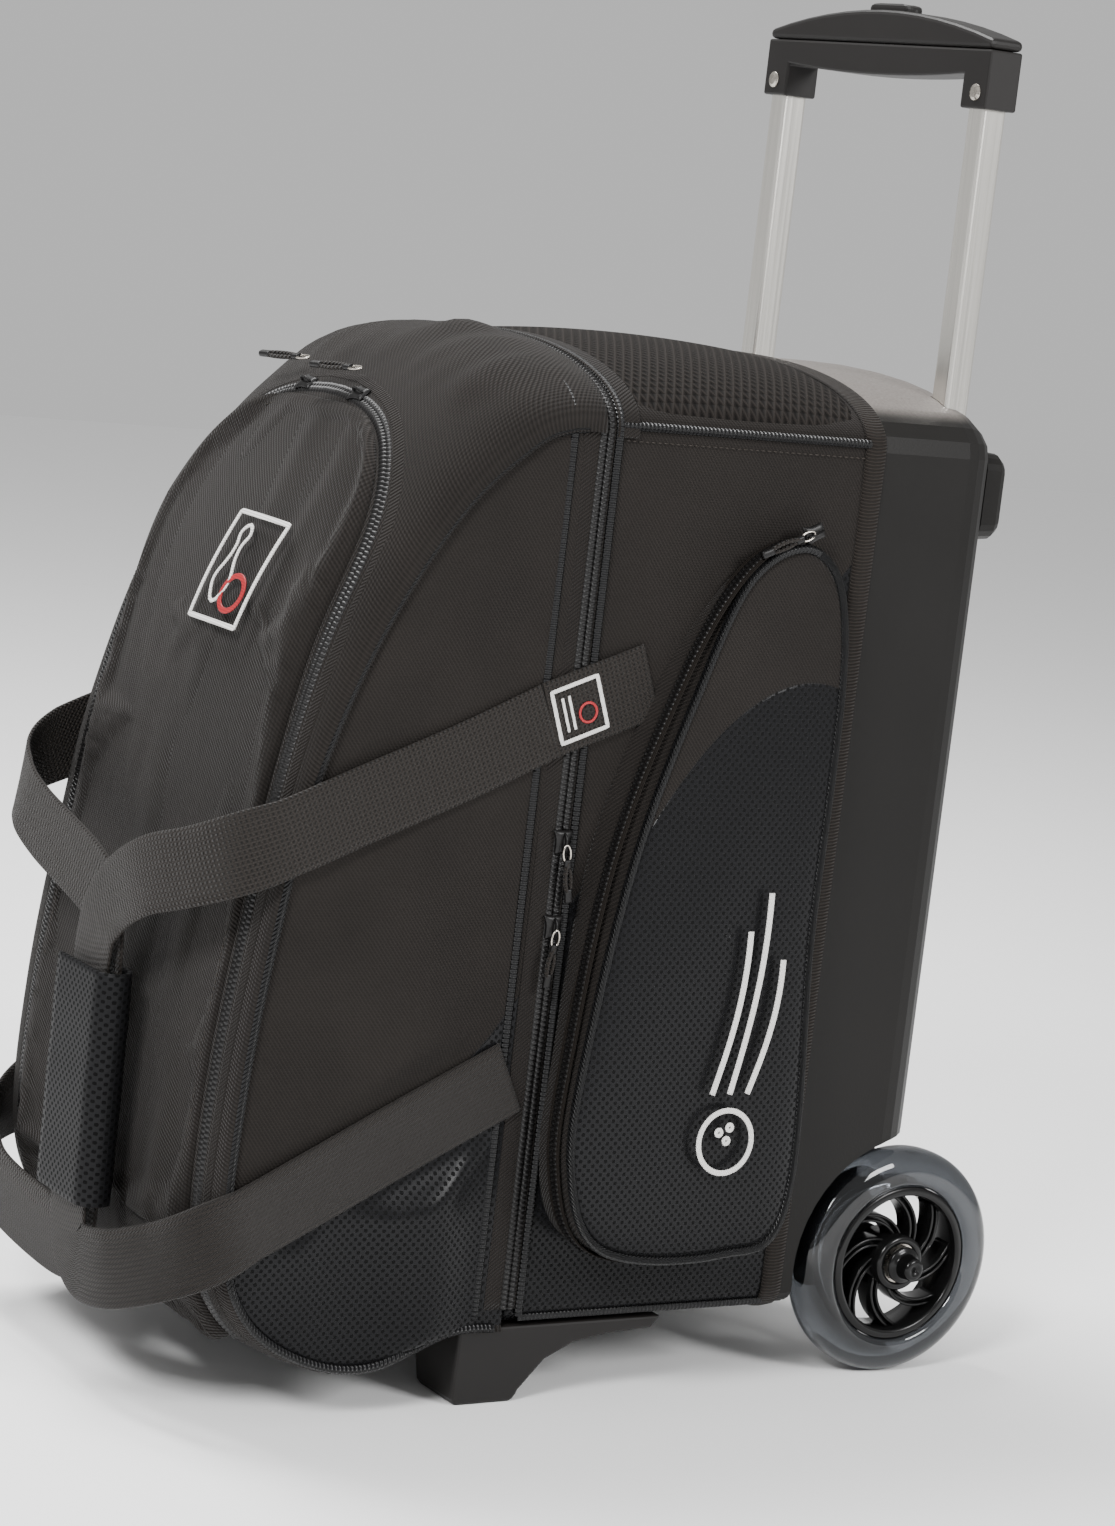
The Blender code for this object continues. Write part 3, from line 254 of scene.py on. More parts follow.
def carried(name, profile, path, out, material, closed=False):
    """Profile (sideways, outward) carried along a path: p + side*a + out*b."""
    _, up, side = frames(path, out, closed)
    profile = np.asarray(profile, float)
    points = (path[:, None] + side[:, None] * profile[None, :, :1]
              + up[:, None] * profile[None, :, 1:])
    return surface(name, points, material, wrap_rows=closed, wrap_cols=True, caps=not closed)


def round_profile(radius, sides=10):
    a = np.linspace(0, 2 * np.pi, sides, endpoint=False)
    return np.stack([radius * np.cos(a), radius * np.sin(a)], 1)


def flat_profile(width, thick, steps=3):
    """Strap section: a rectangle whose two edges are half rounds."""
    r = thick / 2
    a = np.linspace(-np.pi / 2, np.pi / 2, steps + 2)
    right = np.stack([width / 2 - r + r * np.cos(a), r * np.sin(a)], 1)
    mid = np.linspace(width / 2 - r, r - width / 2, 9)[1:-1]
    top = np.stack([mid, np.full_like(mid, r)], 1)
    return np.vstack([right, top, -right, -top])


def revolve(name, profile, centre, material, steps=96, closed=True):
    """Profile (x, radius) turned about a line along X: y = r cos a, z = r sin a."""
    profile = np.asarray(profile, float)
    a = np.linspace(0, 2 * np.pi, steps, endpoint=False)[:, None]
    points = np.stack([np.broadcast_to(centre[0] + profile[:, 0], (steps, len(profile))),
                       centre[1] + profile[:, 1] * np.cos(a),
                       centre[2] + profile[:, 1] * np.sin(a)], 2)
    return surface(name, points, material, wrap_rows=True, wrap_cols=closed)


def box_profile(width, height, radius, steps=5):
    """Rounded rectangle: four quarter circles joined by straight sides."""
    a = np.linspace(0, np.pi / 2, steps + 1)
    parts = []
    for k, (sx, sy) in enumerate(((1, 1), (-1, 1), (-1, -1), (1, -1))):
        t = a + k * np.pi / 2
        parts.append(np.stack([sx * (width / 2 - radius) + radius * np.cos(t),
                               sy * (height / 2 - radius) + radius * np.sin(t)], 1))
    return np.vstack(parts)


def join(name, parts):
    """One object from several, keeping each one's UV map and material."""
    with bpy.context.temp_override(active_object=parts[0], selected_editable_objects=parts):
        bpy.ops.object.join()
    parts[0].name = name
    return parts[0]


def solidify(obj, thickness):
    """Wall grown inwards from the outer surface."""
    mod = obj.modifiers.new("wall", "SOLIDIFY")
    mod.thickness = thickness
    mod.offset = -1.0
    mod.use_even_offset = False


def label(obj, slot, nodes):
    """Record slot of a piece, and the CAD nodes that it stands for."""
    if nodes:
        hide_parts(*nodes)
    return obj


def piece(obj, body, slot, *nodes):
    """Gives a piece its body, its record slot and the CAD nodes that it stands for."""
    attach(obj, body)
    return label(obj, slot, nodes)


def lid_piece(obj, slot, *nodes):
    """Lid cloth: its lowest strip stays with the case and bends up into the lid."""
    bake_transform(obj)
    return label(obj, slot, nodes)


def frame_y(design_y):
    return design_y + TUBE_PLANE


# ---------------------------------------------------------------- cloth simulation
CLOTH_FRAMES = 20


def puff(obj, held, pressure, grow, cap):
    """Inflates a panel with Blender's cloth, pinned where `held` is 1; moves are capped."""
    mesh = obj.data
    start = np.empty(len(mesh.vertices) * 3)
    mesh.vertices.foreach_get("co", start)
    group = obj.vertex_groups.new(name="sewn")
    group.add(np.flatnonzero(held.ravel() == 1).tolist(), 1.0, "REPLACE")
    mod = obj.modifiers.new("cloth", "CLOTH")
    cloth = mod.settings
    cloth.quality = 5
    cloth.mass = 0.25
    cloth.tension_stiffness = 12
    cloth.compression_stiffness = 12
    cloth.shear_stiffness = 5
    cloth.bending_stiffness = 0.4
    cloth.use_pressure = True
    cloth.uniform_pressure_force = pressure
    cloth.shrink_min = -grow
    cloth.vertex_group_mass = group.name
    cloth.effector_weights.gravity = 0
    mod.collision_settings.use_collision = False
    mod.collision_settings.use_self_collision = False
    scene = bpy.context.scene
    for f in range(1, CLOTH_FRAMES + 1):
        scene.frame_set(f)
    done = obj.evaluated_get(bpy.context.evaluated_depsgraph_get())
    moved = np.empty_like(start)
    done.data.vertices.foreach_get("co", moved)
    obj.modifiers.remove(mod)
    scene.frame_set(1)
    step = (moved - start).reshape(-1, 3)
    reach = np.linalg.norm(step, axis=1, keepdims=True)
    step *= np.minimum(1.0, cap / np.maximum(reach, 1e-9))
    mesh.vertices.foreach_set("co", (start.reshape(-1, 3) + step).ravel())
    mesh.update()


# ---------------------------------------------------------------- material nodes
def add(tree, kind, settings=None, **inputs):
    """One shader node: attributes from settings, sockets from values or other sockets."""
    node = tree.nodes.new(kind)
    for key, value in (settings or {}).items():
        setattr(node, key, value)
    for key, value in inputs.items():
        socket = node.inputs[int(key[1:])] if key[0] == "i" and key[1:].isdigit() \
            else node.inputs[key.replace("_", " ")]
        if isinstance(value, bpy.types.NodeSocket):
            tree.links.new(value, socket)
        else:
            socket.default_value = value
    return node


def fresh(name, **inputs):
    """Material with a Principled shader and its plain socket values."""
    mat = bpy.data.materials.new(name)
    mat.use_nodes = True
    shader = mat.node_tree.nodes["Principled BSDF"]
    for key, value in inputs.items():
        shader.inputs[key.replace("_", " ")].default_value = value
    return mat, mat.node_tree, shader


def stripes(tree, coord, direction, pitch):
    """Sine of 2 pi times the distance along a direction, in pitches."""
    k = 2 * math.pi / pitch
    aim = tuple(c * k for c in direction)
    dot = add(tree, "ShaderNodeVectorMath", {"operation": "DOT_PRODUCT"}, i0=coord, i1=aim)
    return add(tree, "ShaderNodeMath", {"operation": "SINE"}, i0=dot.outputs["Value"]).outputs[0]


def maths(tree, operation, a, b=0.0, c=0.0):
    return add(tree, "ShaderNodeMath", {"operation": operation}, i0=a, i1=b, i2=c).outputs[0]


def clouds(tree, coord, scale, detail=3.0):
    return add(tree, "ShaderNodeTexNoise", None, Vector=coord, Scale=scale,
               Detail=detail).outputs["Fac"]


def between(tree, factor, dark, light):
    """Colour mixed from dark to light by a factor."""
    ramp = add(tree, "ShaderNodeMix", {"data_type": "RGBA"}, i0=factor)
    ramp.inputs[6].default_value = (*dark, 1)
    ramp.inputs[7].default_value = (*light, 1)
    return ramp.outputs[2]


def raise_by(tree, shader, height, distance, strength=1.0):
    bump = add(tree, "ShaderNodeBump", None, Height=height, Distance=distance,
               Strength=strength)
    tree.links.new(bump.outputs["Normal"], shader.inputs["Normal"])


def paint(tree, shader, tone):
    tree.links.new(tone, shader.inputs["Base Color"])


def roughen(tree, shader, rough):
    tree.links.new(rough, shader.inputs["Roughness"])


def tinted(colour, amount):
    return tuple(min(c * amount, 1.0) for c in colour)


def coords(tree, kind="UV"):
    return add(tree, "ShaderNodeTexCoord").outputs[kind]


def twill_nodes(tree, uv):
    """Height of a 2/1 twill: steep diagonal lines crossed by fine weft."""
    pitch = sizes().weave_pitch
    line = stripes(tree, uv, (0.80, 0.60, 0), pitch)
    weft = stripes(tree, uv, (0.0, 1.0, 0), pitch * 0.8)
    return maths(tree, "MULTIPLY_ADD", weft, 0.35, line)


def twill():
    """Solution-dyed polyester twill, woven: warm black, matt, with a soft nap sheen."""
    mat, tree, shader = fresh("polyester twill", Roughness=0.8, Sheen_Weight=0.05,
                              Sheen_Roughness=0.4, Specular_IOR_Level=0.12)
    uv, place = coords(tree), coords(tree, "Object")
    height = twill_nodes(tree, uv)
    worn = maths(tree, "MULTIPLY_ADD", clouds(tree, place, 22.0, 4.0), 0.5, 0.25)
    shade = maths(tree, "MULTIPLY_ADD", height, 0.26, worn)
    base = tuple(colours().cloth)
    tone = between(tree, shade, tinted(base, 0.45), tinted(base, 1.55))
    paint(tree, shader, tone)
    raise_by(tree, shader, height, 0.00034, 0.9)
    return mat


def vinyl_height(tree, uv, pitch):
    """Dimples on a diagonal lattice: product of two sines, cut at a level."""
    a = stripes(tree, uv, (1, 0, 0), pitch * 1.5)
    b = stripes(tree, uv, (0, 1, 0), pitch * 1.5)
    dots = maths(tree, "MULTIPLY", a, b)
    return add(tree, "ShaderNodeMapRange", {"interpolation_type": "SMOOTHSTEP"}, Value=dots,
               From_Min=0.22, From_Max=0.42).outputs[0]


def dot_vinyl():
    """Embossed PVC-coated cloth, calendered: glossy land between dull dimples."""
    mat, tree, shader = fresh("embossed vinyl", Roughness=0.3, IOR=1.5,
                              Specular_IOR_Level=0.12)
    uv = coords(tree)
    dots = vinyl_height(tree, uv, sizes().vinyl_pitch)
    base = tuple(colours().vinyl)
    # dimples painted much darker than the land: painted shade in the recesses
    tone = between(tree, dots, tinted(base, 2.2), tinted(base, 0.2))
    paint(tree, shader, tone)
    rough = maths(tree, "MULTIPLY_ADD", dots, 0.30, 0.50)
    roughen(tree, shader, rough)
    raise_by(tree, shader, maths(tree, "SUBTRACT", 1.0, dots), 0.0006, 0.7)
    return mat


def split_cloth(name, edge):
    """Twill above a sewn line and embossed vinyl below it, split by z over a sloping line."""
    mat, tree, shader = fresh(name, Roughness=0.8, Sheen_Weight=0.03, Sheen_Roughness=0.4,
                              Specular_IOR_Level=0.13)
    uv, place = coords(tree), coords(tree, "Object")
    spot = add(tree, "ShaderNodeSeparateXYZ", None, Vector=place)
    y0, z0, slope, bend = edge
    dy = maths(tree, "SUBTRACT", spot.outputs[1], y0)
    line = maths(tree, "MULTIPLY_ADD", dy, slope, z0)
    line = maths(tree, "MULTIPLY_ADD", maths(tree, "MULTIPLY", dy, dy), bend, line)
    gap = maths(tree, "SUBTRACT", spot.outputs[2], line)
    upper = add(tree, "ShaderNodeMapRange", None, Value=gap, From_Min=-0.0004,
                From_Max=0.0004).outputs[0]
    weave = twill_nodes(tree, uv)
    worn = maths(tree, "MULTIPLY_ADD", clouds(tree, place, 22.0, 4.0), 0.5, 0.25)
    shade = maths(tree, "MULTIPLY_ADD", weave, 0.26, worn)
    base = tuple(colours().cloth)
    cloth = between(tree, shade, tinted(base, 0.45), tinted(base, 1.55))
    dots = vinyl_height(tree, uv, sizes().vinyl_pitch)
    dark = tuple(colours().vinyl)
    # the vinyl's dimples painted much darker than its land: painted shade in the recesses
    vinyl = between(tree, dots, tinted(dark, 2.4), tinted(dark, 0.2))
    tone = add(tree, "ShaderNodeMix", {"data_type": "RGBA"}, i0=upper, i6=vinyl, i7=cloth)
    tree.links.new(tone.outputs[2], shader.inputs["Base Color"])
    rough = maths(tree, "MULTIPLY_ADD", dots, 0.45, 0.27)
    rough = add(tree, "ShaderNodeMix", {"data_type": "FLOAT"}, i0=upper, i2=rough, i3=0.8)
    tree.links.new(rough.outputs[0], shader.inputs["Roughness"])
    relief = add(tree, "ShaderNodeMix", {"data_type": "FLOAT"}, i0=upper,
                 i2=maths(tree, "MULTIPLY", dots, -1.8), i3=maths(tree, "MULTIPLY", weave, 0.6))
    crease = maths(tree, "MULTIPLY", maths(tree, "ABSOLUTE", gap), 900.0)
    crease = maths(tree, "MINIMUM", crease, 1.0)
    height = maths(tree, "MULTIPLY_ADD", crease, 1.5, relief.outputs[0])
    raise_by(tree, shader, height, 0.00035, 0.8)
    return mat


def webbing():
    """Polypropylene webbing, woven in coarse ribs: dull with a slight sheen on each rib."""
    mat, tree, shader = fresh("polypropylene webbing", Roughness=0.6, Sheen_Weight=0.05,
                              Sheen_Roughness=0.4, Specular_IOR_Level=0.22)
    uv = coords(tree)
    ribs = stripes(tree, uv, (1, 0, 0), 0.0027)
    yarn = stripes(tree, uv, (0.0, 1, 0), 0.0024)
    cross = maths(tree, "MULTIPLY", ribs, yarn)
    height = maths(tree, "MULTIPLY_ADD", ribs, 0.7, cross)
    base = tuple(colours().webbing)
    tone = between(tree, maths(tree, "MULTIPLY_ADD", height, 0.3, 0.45),
                   tinted(base, 0.30), tinted(base, 1.9))
    paint(tree, shader, tone)
    raise_by(tree, shader, height, 0.0006, 1.0)
    return mat


def grosgrain():
    """Grosgrain ribbon: fine ribs square to its length, low sheen."""
    mat, tree, shader = fresh("grosgrain ribbon", Roughness=0.6, Sheen_Weight=0.04,
                              Sheen_Roughness=0.4, Specular_IOR_Level=0.12)
    ribs = stripes(tree, coords(tree), (1, 0, 0), 0.0018)
    base = tuple(colours().webbing)
    tone = between(tree, maths(tree, "MULTIPLY_ADD", ribs, 0.4, 0.5),
                   tinted(base, 0.5), tinted(base, 1.6))
    paint(tree, shader, tone)
    raise_by(tree, shader, ribs, 0.0004, 0.9)
    return mat


def braided_piping():
    """Vinyl piping with a beaded emboss: small glossy bumps in a dark lattice."""
    mat, tree, shader = fresh("embossed piping", Roughness=0.38, Specular_IOR_Level=0.28)
    uv = coords(tree)
    a = stripes(tree, uv, (1, 0.5, 0), 0.0048)
    b = stripes(tree, uv, (1, -0.5, 0), 0.0048)
    beads = maths(tree, "MULTIPLY", a, b)
    base = tuple(colours().vinyl)
    # beads painted lighter and the lattice darker: painted highlights and painted shade
    tone = between(tree, maths(tree, "MULTIPLY_ADD", beads, 0.5, 0.5),
                   tinted(base, 0.3), tinted(base, 2.2))
    paint(tree, shader, tone)
    raise_by(tree, shader, beads, 0.0007, 1.0)
    return mat


def zipper_tape():
    """Woven polyester zipper tape: fine cords along it."""
    mat, tree, shader = fresh("zipper tape", Roughness=0.8, Specular_IOR_Level=0.12)
    cords = stripes(tree, coords(tree), (0, 1, 0), 0.0014)
    base = tuple(colours().webbing)
    tone = between(tree, maths(tree, "MULTIPLY_ADD", cords, 0.3, 0.5),
                   tinted(base, 0.5), tinted(base, 1.2))
    paint(tree, shader, tone)
    raise_by(tree, shader, cords, 0.0002, 0.8)
    return mat


def coil_nylon():
    """Extruded nylon coil: smooth, half glossy."""
    mat, tree, shader = fresh("nylon coil", Roughness=0.4, IOR=1.53, Specular_IOR_Level=0.25)
    grime = clouds(tree, coords(tree, "Object"), 60.0)
    base = tuple(colours().coil)
    tree.links.new(between(tree, grime, tinted(base, 0.7), tinted(base, 1.6)),
                   shader.inputs["Base Color"])
    return mat


def knit():
    """Warp-knitted spacer mesh: zigzag ribs between open holes."""
    mat, tree, shader = fresh("spacer mesh", Roughness=0.8, Specular_IOR_Level=0.10)
    uv = coords(tree)
    a = stripes(tree, uv, (1, 0.6, 0), 0.0052)
    b = stripes(tree, uv, (1, -0.6, 0), 0.0052)
    holes = maths(tree, "MAXIMUM", a, b)
    base = tuple(colours().cloth)
    tone = between(tree, maths(tree, "MULTIPLY_ADD", holes, 0.5, 0.5),
                   tinted(base, 0.2), tinted(base, 1.3))
    paint(tree, shader, tone)
    raise_by(tree, shader, holes, 0.0009, 1.0)
    return mat


def lining():
    """Nylon lining cloth: thin plain weave, dark grey."""
    mat, tree, shader = fresh("nylon lining", Roughness=0.6)
    place = coords(tree, "Object")
    grid = maths(tree, "MULTIPLY", stripes(tree, place, (1, 0, 0.2), 0.003),
                 stripes(tree, place, (0, 1, 1), 0.003))
    tone = between(tree, maths(tree, "MULTIPLY_ADD", grid, 0.4, 0.5),
                   linear("#1b1b1c"), linear("#333335"))
    paint(tree, shader, tone)
    raise_by(tree, shader, grid, 0.0003, 0.6)
    return mat


def moulded(name, colour, roughness, grain, depth):
    """Moulded plastic with a spark-eroded grain: soft broad highlight, fine pits."""
    mat, tree, shader = fresh(name, Roughness=roughness, IOR=1.49, Specular_IOR_Level=0.28)
    place = coords(tree, "Object")
    pits = clouds(tree, place, 1.0 / grain, 2.0)
    patches = clouds(tree, place, 14.0, 4.0)
    tone = between(tree, patches, tinted(colour, 0.8), tinted(colour, 1.2))
    paint(tree, shader, tone)
    rough = maths(tree, "MULTIPLY_ADD", patches, 0.14, roughness - 0.07)
    roughen(tree, shader, rough)
    raise_by(tree, shader, pits, depth, 0.7)
    return mat


def shell_plastic():
    """Polypropylene shell, vacuum formed: smooth dark sides, paler leather-grain crown."""
    mat, tree, shader = fresh("polypropylene shell", Roughness=0.42, IOR=1.49,
                              Specular_IOR_Level=0.14)
    place = coords(tree, "Object")
    base = tuple(colours().shell)
    patches = clouds(tree, place, 9.0, 4.0)
    side = between(tree, patches, tinted(base, 0.8), tinted(base, 1.25))
    # crown: the shell's top painted paler than its sides, a painted highlight
    crown = between(tree, clouds(tree, place, 700.0, 3.0), linear("#4a4643"), linear("#7a7571"))
    height = add(tree, "ShaderNodeSeparateXYZ", None, Vector=place).outputs[2]
    upper = add(tree, "ShaderNodeMapRange", {"interpolation_type": "SMOOTHSTEP"}, Value=height,
                From_Min=SIDE_TOP + 0.017, From_Max=SIDE_TOP + 0.024).outputs[0]
    tone = add(tree, "ShaderNodeMix", {"data_type": "RGBA"}, i0=upper, i6=side, i7=crown)
    tree.links.new(tone.outputs[2], shader.inputs["Base Color"])
    rough = maths(tree, "MULTIPLY_ADD", patches, 0.14, 0.36)
    roughen(tree, shader, rough)
    raise_by(tree, shader, clouds(tree, place, 900.0, 2.0), 0.00012, 0.7)
    return mat


def grip_plastic():
    return moulded("ABS grip", tuple(colours().grip), 0.5, 0.0006, 0.00006)


def hub_plastic():
    return moulded("nylon hub", tuple(colours().hub), 0.22, 0.003, 0.00002)


def aluminium():
    """Anodised aluminium, drawn: fine streaks along the tube."""
    mat, tree, shader = fresh("anodised aluminium", Metallic=1.0, Roughness=0.22)
    stretched = add(tree, "ShaderNodeMapping", None, Vector=coords(tree, "Object"),
                    Scale=(900.0, 900.0, 6.0)).outputs[0]
    streaks = clouds(tree, stretched, 1.0, 2.0)
    base = tuple(colours().metal)
    tree.links.new(between(tree, streaks, tinted(base, 0.86), base), shader.inputs["Base Color"])
    rough = maths(tree, "MULTIPLY_ADD", streaks, 0.16, 0.16)
    roughen(tree, shader, rough)
    return mat


def steel():
    """Nickel-plated steel: bright with faint handling marks."""
    mat, tree, shader = fresh("nickel-plated steel", Metallic=1.0, Roughness=0.25)
    marks = clouds(tree, coords(tree, "Object"), 300.0)
    tree.links.new(between(tree, marks, linear("#9a948c"), linear("#cfc9c0")),
                   shader.inputs["Base Color"])
    rough = maths(tree, "MULTIPLY_ADD", marks, 0.25, 0.15)
    roughen(tree, shader, rough)
    return mat


def clear_rubber():
    """Cast polyurethane, clear with a smoky blue tint: sharp highlights, slight haze."""
    mat, tree, shader = fresh("cast polyurethane", Transmission_Weight=0.92, IOR=1.47,
                              Roughness=0.04)
    haze = clouds(tree, coords(tree, "Object"), 40.0)
    base = tuple(colours().tyre)
    tree.links.new(between(tree, haze, tinted(base, 0.75), base), shader.inputs["Base Color"])
    rough = maths(tree, "MULTIPLY_ADD", haze, 0.06, 0.02)
    roughen(tree, shader, rough)
    return mat


def foam():
    """Closed-cell foam under brushed lining: dull, finely pitted."""
    return moulded("lined foam", linear("#3a3a3c"), 0.9, 0.002, 0.0003)


def embroidery():
    """Rayon embroidery thread in satin stitch: fine bright ridges."""
    mat, tree, shader = fresh("rayon embroidery", Roughness=0.5, Sheen_Weight=0.2)
    thread = stripes(tree, coords(tree, "Object"), (0, 1, 0.6), 0.0013)
    base = tuple(colours().thread)
    tree.links.new(between(tree, maths(tree, "MULTIPLY_ADD", thread, 0.3, 0.6),
                           tinted(base, 0.6), base), shader.inputs["Base Color"])
    raise_by(tree, shader, thread, 0.0003, 0.7)
    return mat


def red_thread():
    mat, tree, shader = fresh("red embroidery", Roughness=0.5)
    thread = stripes(tree, coords(tree, "Object"), (0, 1, 0.6), 0.0013)
    tree.links.new(between(tree, maths(tree, "MULTIPLY_ADD", thread, 0.3, 0.6),
                           linear("#6a1016"), linear("#a8141c")), shader.inputs["Base Color"])
    return mat


def sewing_thread():
    """Bonded polyester sewing thread: slightly glossy, a shade paler than the cloth."""
    return moulded("bonded thread", linear("#2f2a26"), 0.4, 0.0008, 0.00005)


def studio_floor():
    mat, tree, shader = fresh("matt paper", Roughness=0.9)
    grain = clouds(tree, coords(tree, "Object"), 30.0)
    base = tuple(colours().floor)
    tree.links.new(between(tree, grain, tinted(base, 0.985), base), shader.inputs["Base Color"])
    return mat


MAKERS = {
    "twill": twill, "vinyl": dot_vinyl, "webbing": webbing, "grosgrain": grosgrain,
    "piping": braided_piping, "tape": zipper_tape, "coil": coil_nylon, "knit": knit,
    "lining": lining, "shell": shell_plastic, "grip": grip_plastic, "hub": hub_plastic,
    "aluminium": aluminium, "steel": steel, "tyre": clear_rubber, "foam": foam,
    "embroidery": embroidery, "red": red_thread, "floor": studio_floor,
    "thread": sewing_thread,
    "lid_side": lambda: split_cloth("twill over vinyl lid side",
                                    (frame_y(-0.262), 0.205, 1.29, 3.83)),
    "case_side": lambda: split_cloth("twill over vinyl case side",
                                     (frame_y(-0.232), 0.262, 1.2, 0.0)),
    "pocket_face": lambda: split_cloth("twill over vinyl pocket",
                                       (frame_y(-0.100), 0.388, -0.10, -9.0)),
}
_made = {}


def finish(name):
    if name not in _made:
        _made[name] = MAKERS[name]()
    return _made[name]


# ---------------------------------------------------------------- shapes of the bag
def arch_height(x, half=None, rise=RISE):
    """Superellipse arch: rise * (1 - |x/half|^ARCH)^(1/ARCH)."""
    share = np.clip(np.abs(x) / (half or HALF), 0, 1)
    return rise * (1 - share ** ARCH) ** (1 / ARCH)


def arch_x(count, half=None):
    """Even angles round the arch, which crowd the points where it turns down."""
    a = np.linspace(0, np.pi, count)
    c = np.cos(a)
    return (half or HALF) * np.sign(c) * np.abs(c) ** (2 / ARCH)


def over_path(y, base, lift=0.0, count=260):
    """Path up one side, over the arched top and down the other, at one y, near side first."""
    x = arch_x(160, HALF + lift)
    top = np.stack([x, np.full_like(x, y), SIDE_TOP + arch_height(x, HALF + lift, RISE + lift)], 1)
    rise = np.linspace(base, SIDE_TOP, 60)[:-1]
    near = np.stack([np.full_like(rise, HALF + lift), np.full_like(rise, y), rise], 1)
    far = near[::-1] * (-1, 1, 1)
    path = resample(np.vstack([near, top, far]), count)
    out = path - (0, y, SIDE_TOP - 0.10)
    flat = path[:, 2] < SIDE_TOP
    out[flat] = np.stack([np.sign(path[flat, 0]), np.zeros(flat.sum()), np.zeros(flat.sum())], 1)
    out[:, 1] = 0
    return path, out


SEAM = curve(LID_SEAM, 300)
SEAM[:, 0] += TUBE_PLANE
_step = np.gradient(SEAM[:, :2], axis=0)
_step[[0, -1]] = ((-1, 0), (1, 0))
_step /= np.linalg.norm(_step, axis=1, keepdims=True)
SEAM_OUT = np.stack([-_step[:, 1], _step[:, 0]], 1)
SEAM_OUT[0], SEAM_OUT[-1] = (0, -1), (0, 1)
SEAM_RUN = np.linspace(0, 1, len(SEAM))


def seam_at(s):
    """Seam's y, z, rise and outward direction at shares s of its length."""
    return [np.interp(s, SEAM_RUN, col) for col in (*SEAM.T, *SEAM_OUT.T)]


def lid_points(s, x, lift=0.0):
    """Lid surface: seam point + outward * (rise * arch(x) + lift)."""
    y, z, rise, oy, oz = seam_at(s)
    stand = arch_height(x, rise=rise) + lift
    return np.stack(np.broadcast_arrays(x, y + oy * stand, z + oz * stand), -1)


def folds(a, b, waves):
    """Soft creases: sum of height * (half + half sin(2 pi (a*i + b*j) + phase))^2, faded."""
    total = np.zeros(np.broadcast(a, b).shape)
    for height, i, j, phase in waves:
        bend = 0.35 * np.sin(2 * np.pi * (a * j * 0.7 - b * i * 0.6) + phase * 2)
        ridge = 0.5 + 0.5 * np.sin(2 * np.pi * (a * i + b * j) + phase + bend * 2)
        fade = 0.6 + 0.4 * np.sin(2 * np.pi * (b * i * 0.5 - a * j * 0.45) + phase * 3)
        total += height * ridge ** 2 * fade
    return total


def ease(value):
    """Smooth step from 0 to 1: 3t^2 - 2t^3."""
    t = np.clip(value, 0, 1)
    return t * t * (3 - 2 * t)


# ---------------------------------------------------------------- lid
def lid_front():
    """Main panel swept round the lid, with the top and bottom in one length."""
    s = np.linspace(0, 1, 190)[:, None]
    x = arch_x(64)[None, :]
    inside = np.clip(1 - np.abs(x) / HALF, 0, 1) ** 0.5
    inside = inside * np.clip(ease((s - POCKET_HIGH - 0.012) / 0.03)
                              + ease((0.10 - s) / 0.05) * 0.3, 0, 1) * ease((1 - s) / 0.03)
    wave = folds(s, x / HALF, ((0.0032, 7.1, 0.9, 0.4), (0.0026, 5.2, -1.3, 1.1),
                               (0.0016, 3.7, 1.9, 2.0)))
    points = lid_points(s, x, wave * inside - 0.0004)
    obj = surface("lid_front_panel", points, finish("twill"), flat=(s * SEAM_LENGTH, x))
    solidify(obj, sizes().padding)
    lid_piece(obj, "fabric", "lid_case")


def lid_side(side, word):
    """Side panel: ruled from the seam to the zipper line, crowned by the cloth."""
    s = np.linspace(0.0, 1.0, 120)
    y, z, _, _, _ = seam_at(s)
    back = np.linspace(0, 1, 56)[None, :]
    rear_z = FLOOR + 0.0008 + (SIDE_TOP - FLOOR - 0.0008) * (0.5 - 0.5 * np.cos(np.pi * s)) ** 0.9
    rear_z[0], rear_z[-1] = z[0], z[-1]
    py = y[:, None] + (ZIP_Y - 0.0015 - y[:, None]) * back
    pz = z[:, None] + (rear_z[:, None] - z[:, None]) * back
    edge = np.sin(np.pi * back) ** 0.7 * np.sin(np.pi * s[:, None]) ** 0.7
    wave = folds(py * 3.2, pz * 1.1, ((0.0088, 2.2, 0.9, 0.2), (0.0050, 3.4, 1.7, 1.7),
                                      (0.0018, 5.4, 2.6, 0.9)))
    px = HALF - 0.0002 + edge * (0.0020 + wave)
    points = np.stack([side * px, py, pz], 2)
    obj = surface("lid_side_" + word, points, finish("lid_side"), flip=side < 0)
    held = np.zeros(px.shape)
    held[[0, -1]] = 1
    held[:, [0, -1]] = 1
    puff(obj, held, pressure=5.0, grow=0.025, cap=0.007)
    press_under_straps(obj, side)
    remap_uv_flat(obj, (1, 2))
    solidify(obj, sizes().padding)
    lid_piece(obj, "fabric")


STRAP_LINES = ((0.3620, 0.41), (0.1780, 0.474))    # (z at the hinge, slope) of each crossing
STRAP_REACH, STRAP_EASE = 0.0205, 0.030        # held flat this far off, free this much further
FREE_CROWN = 0.0120                            # how far free cloth may stand out


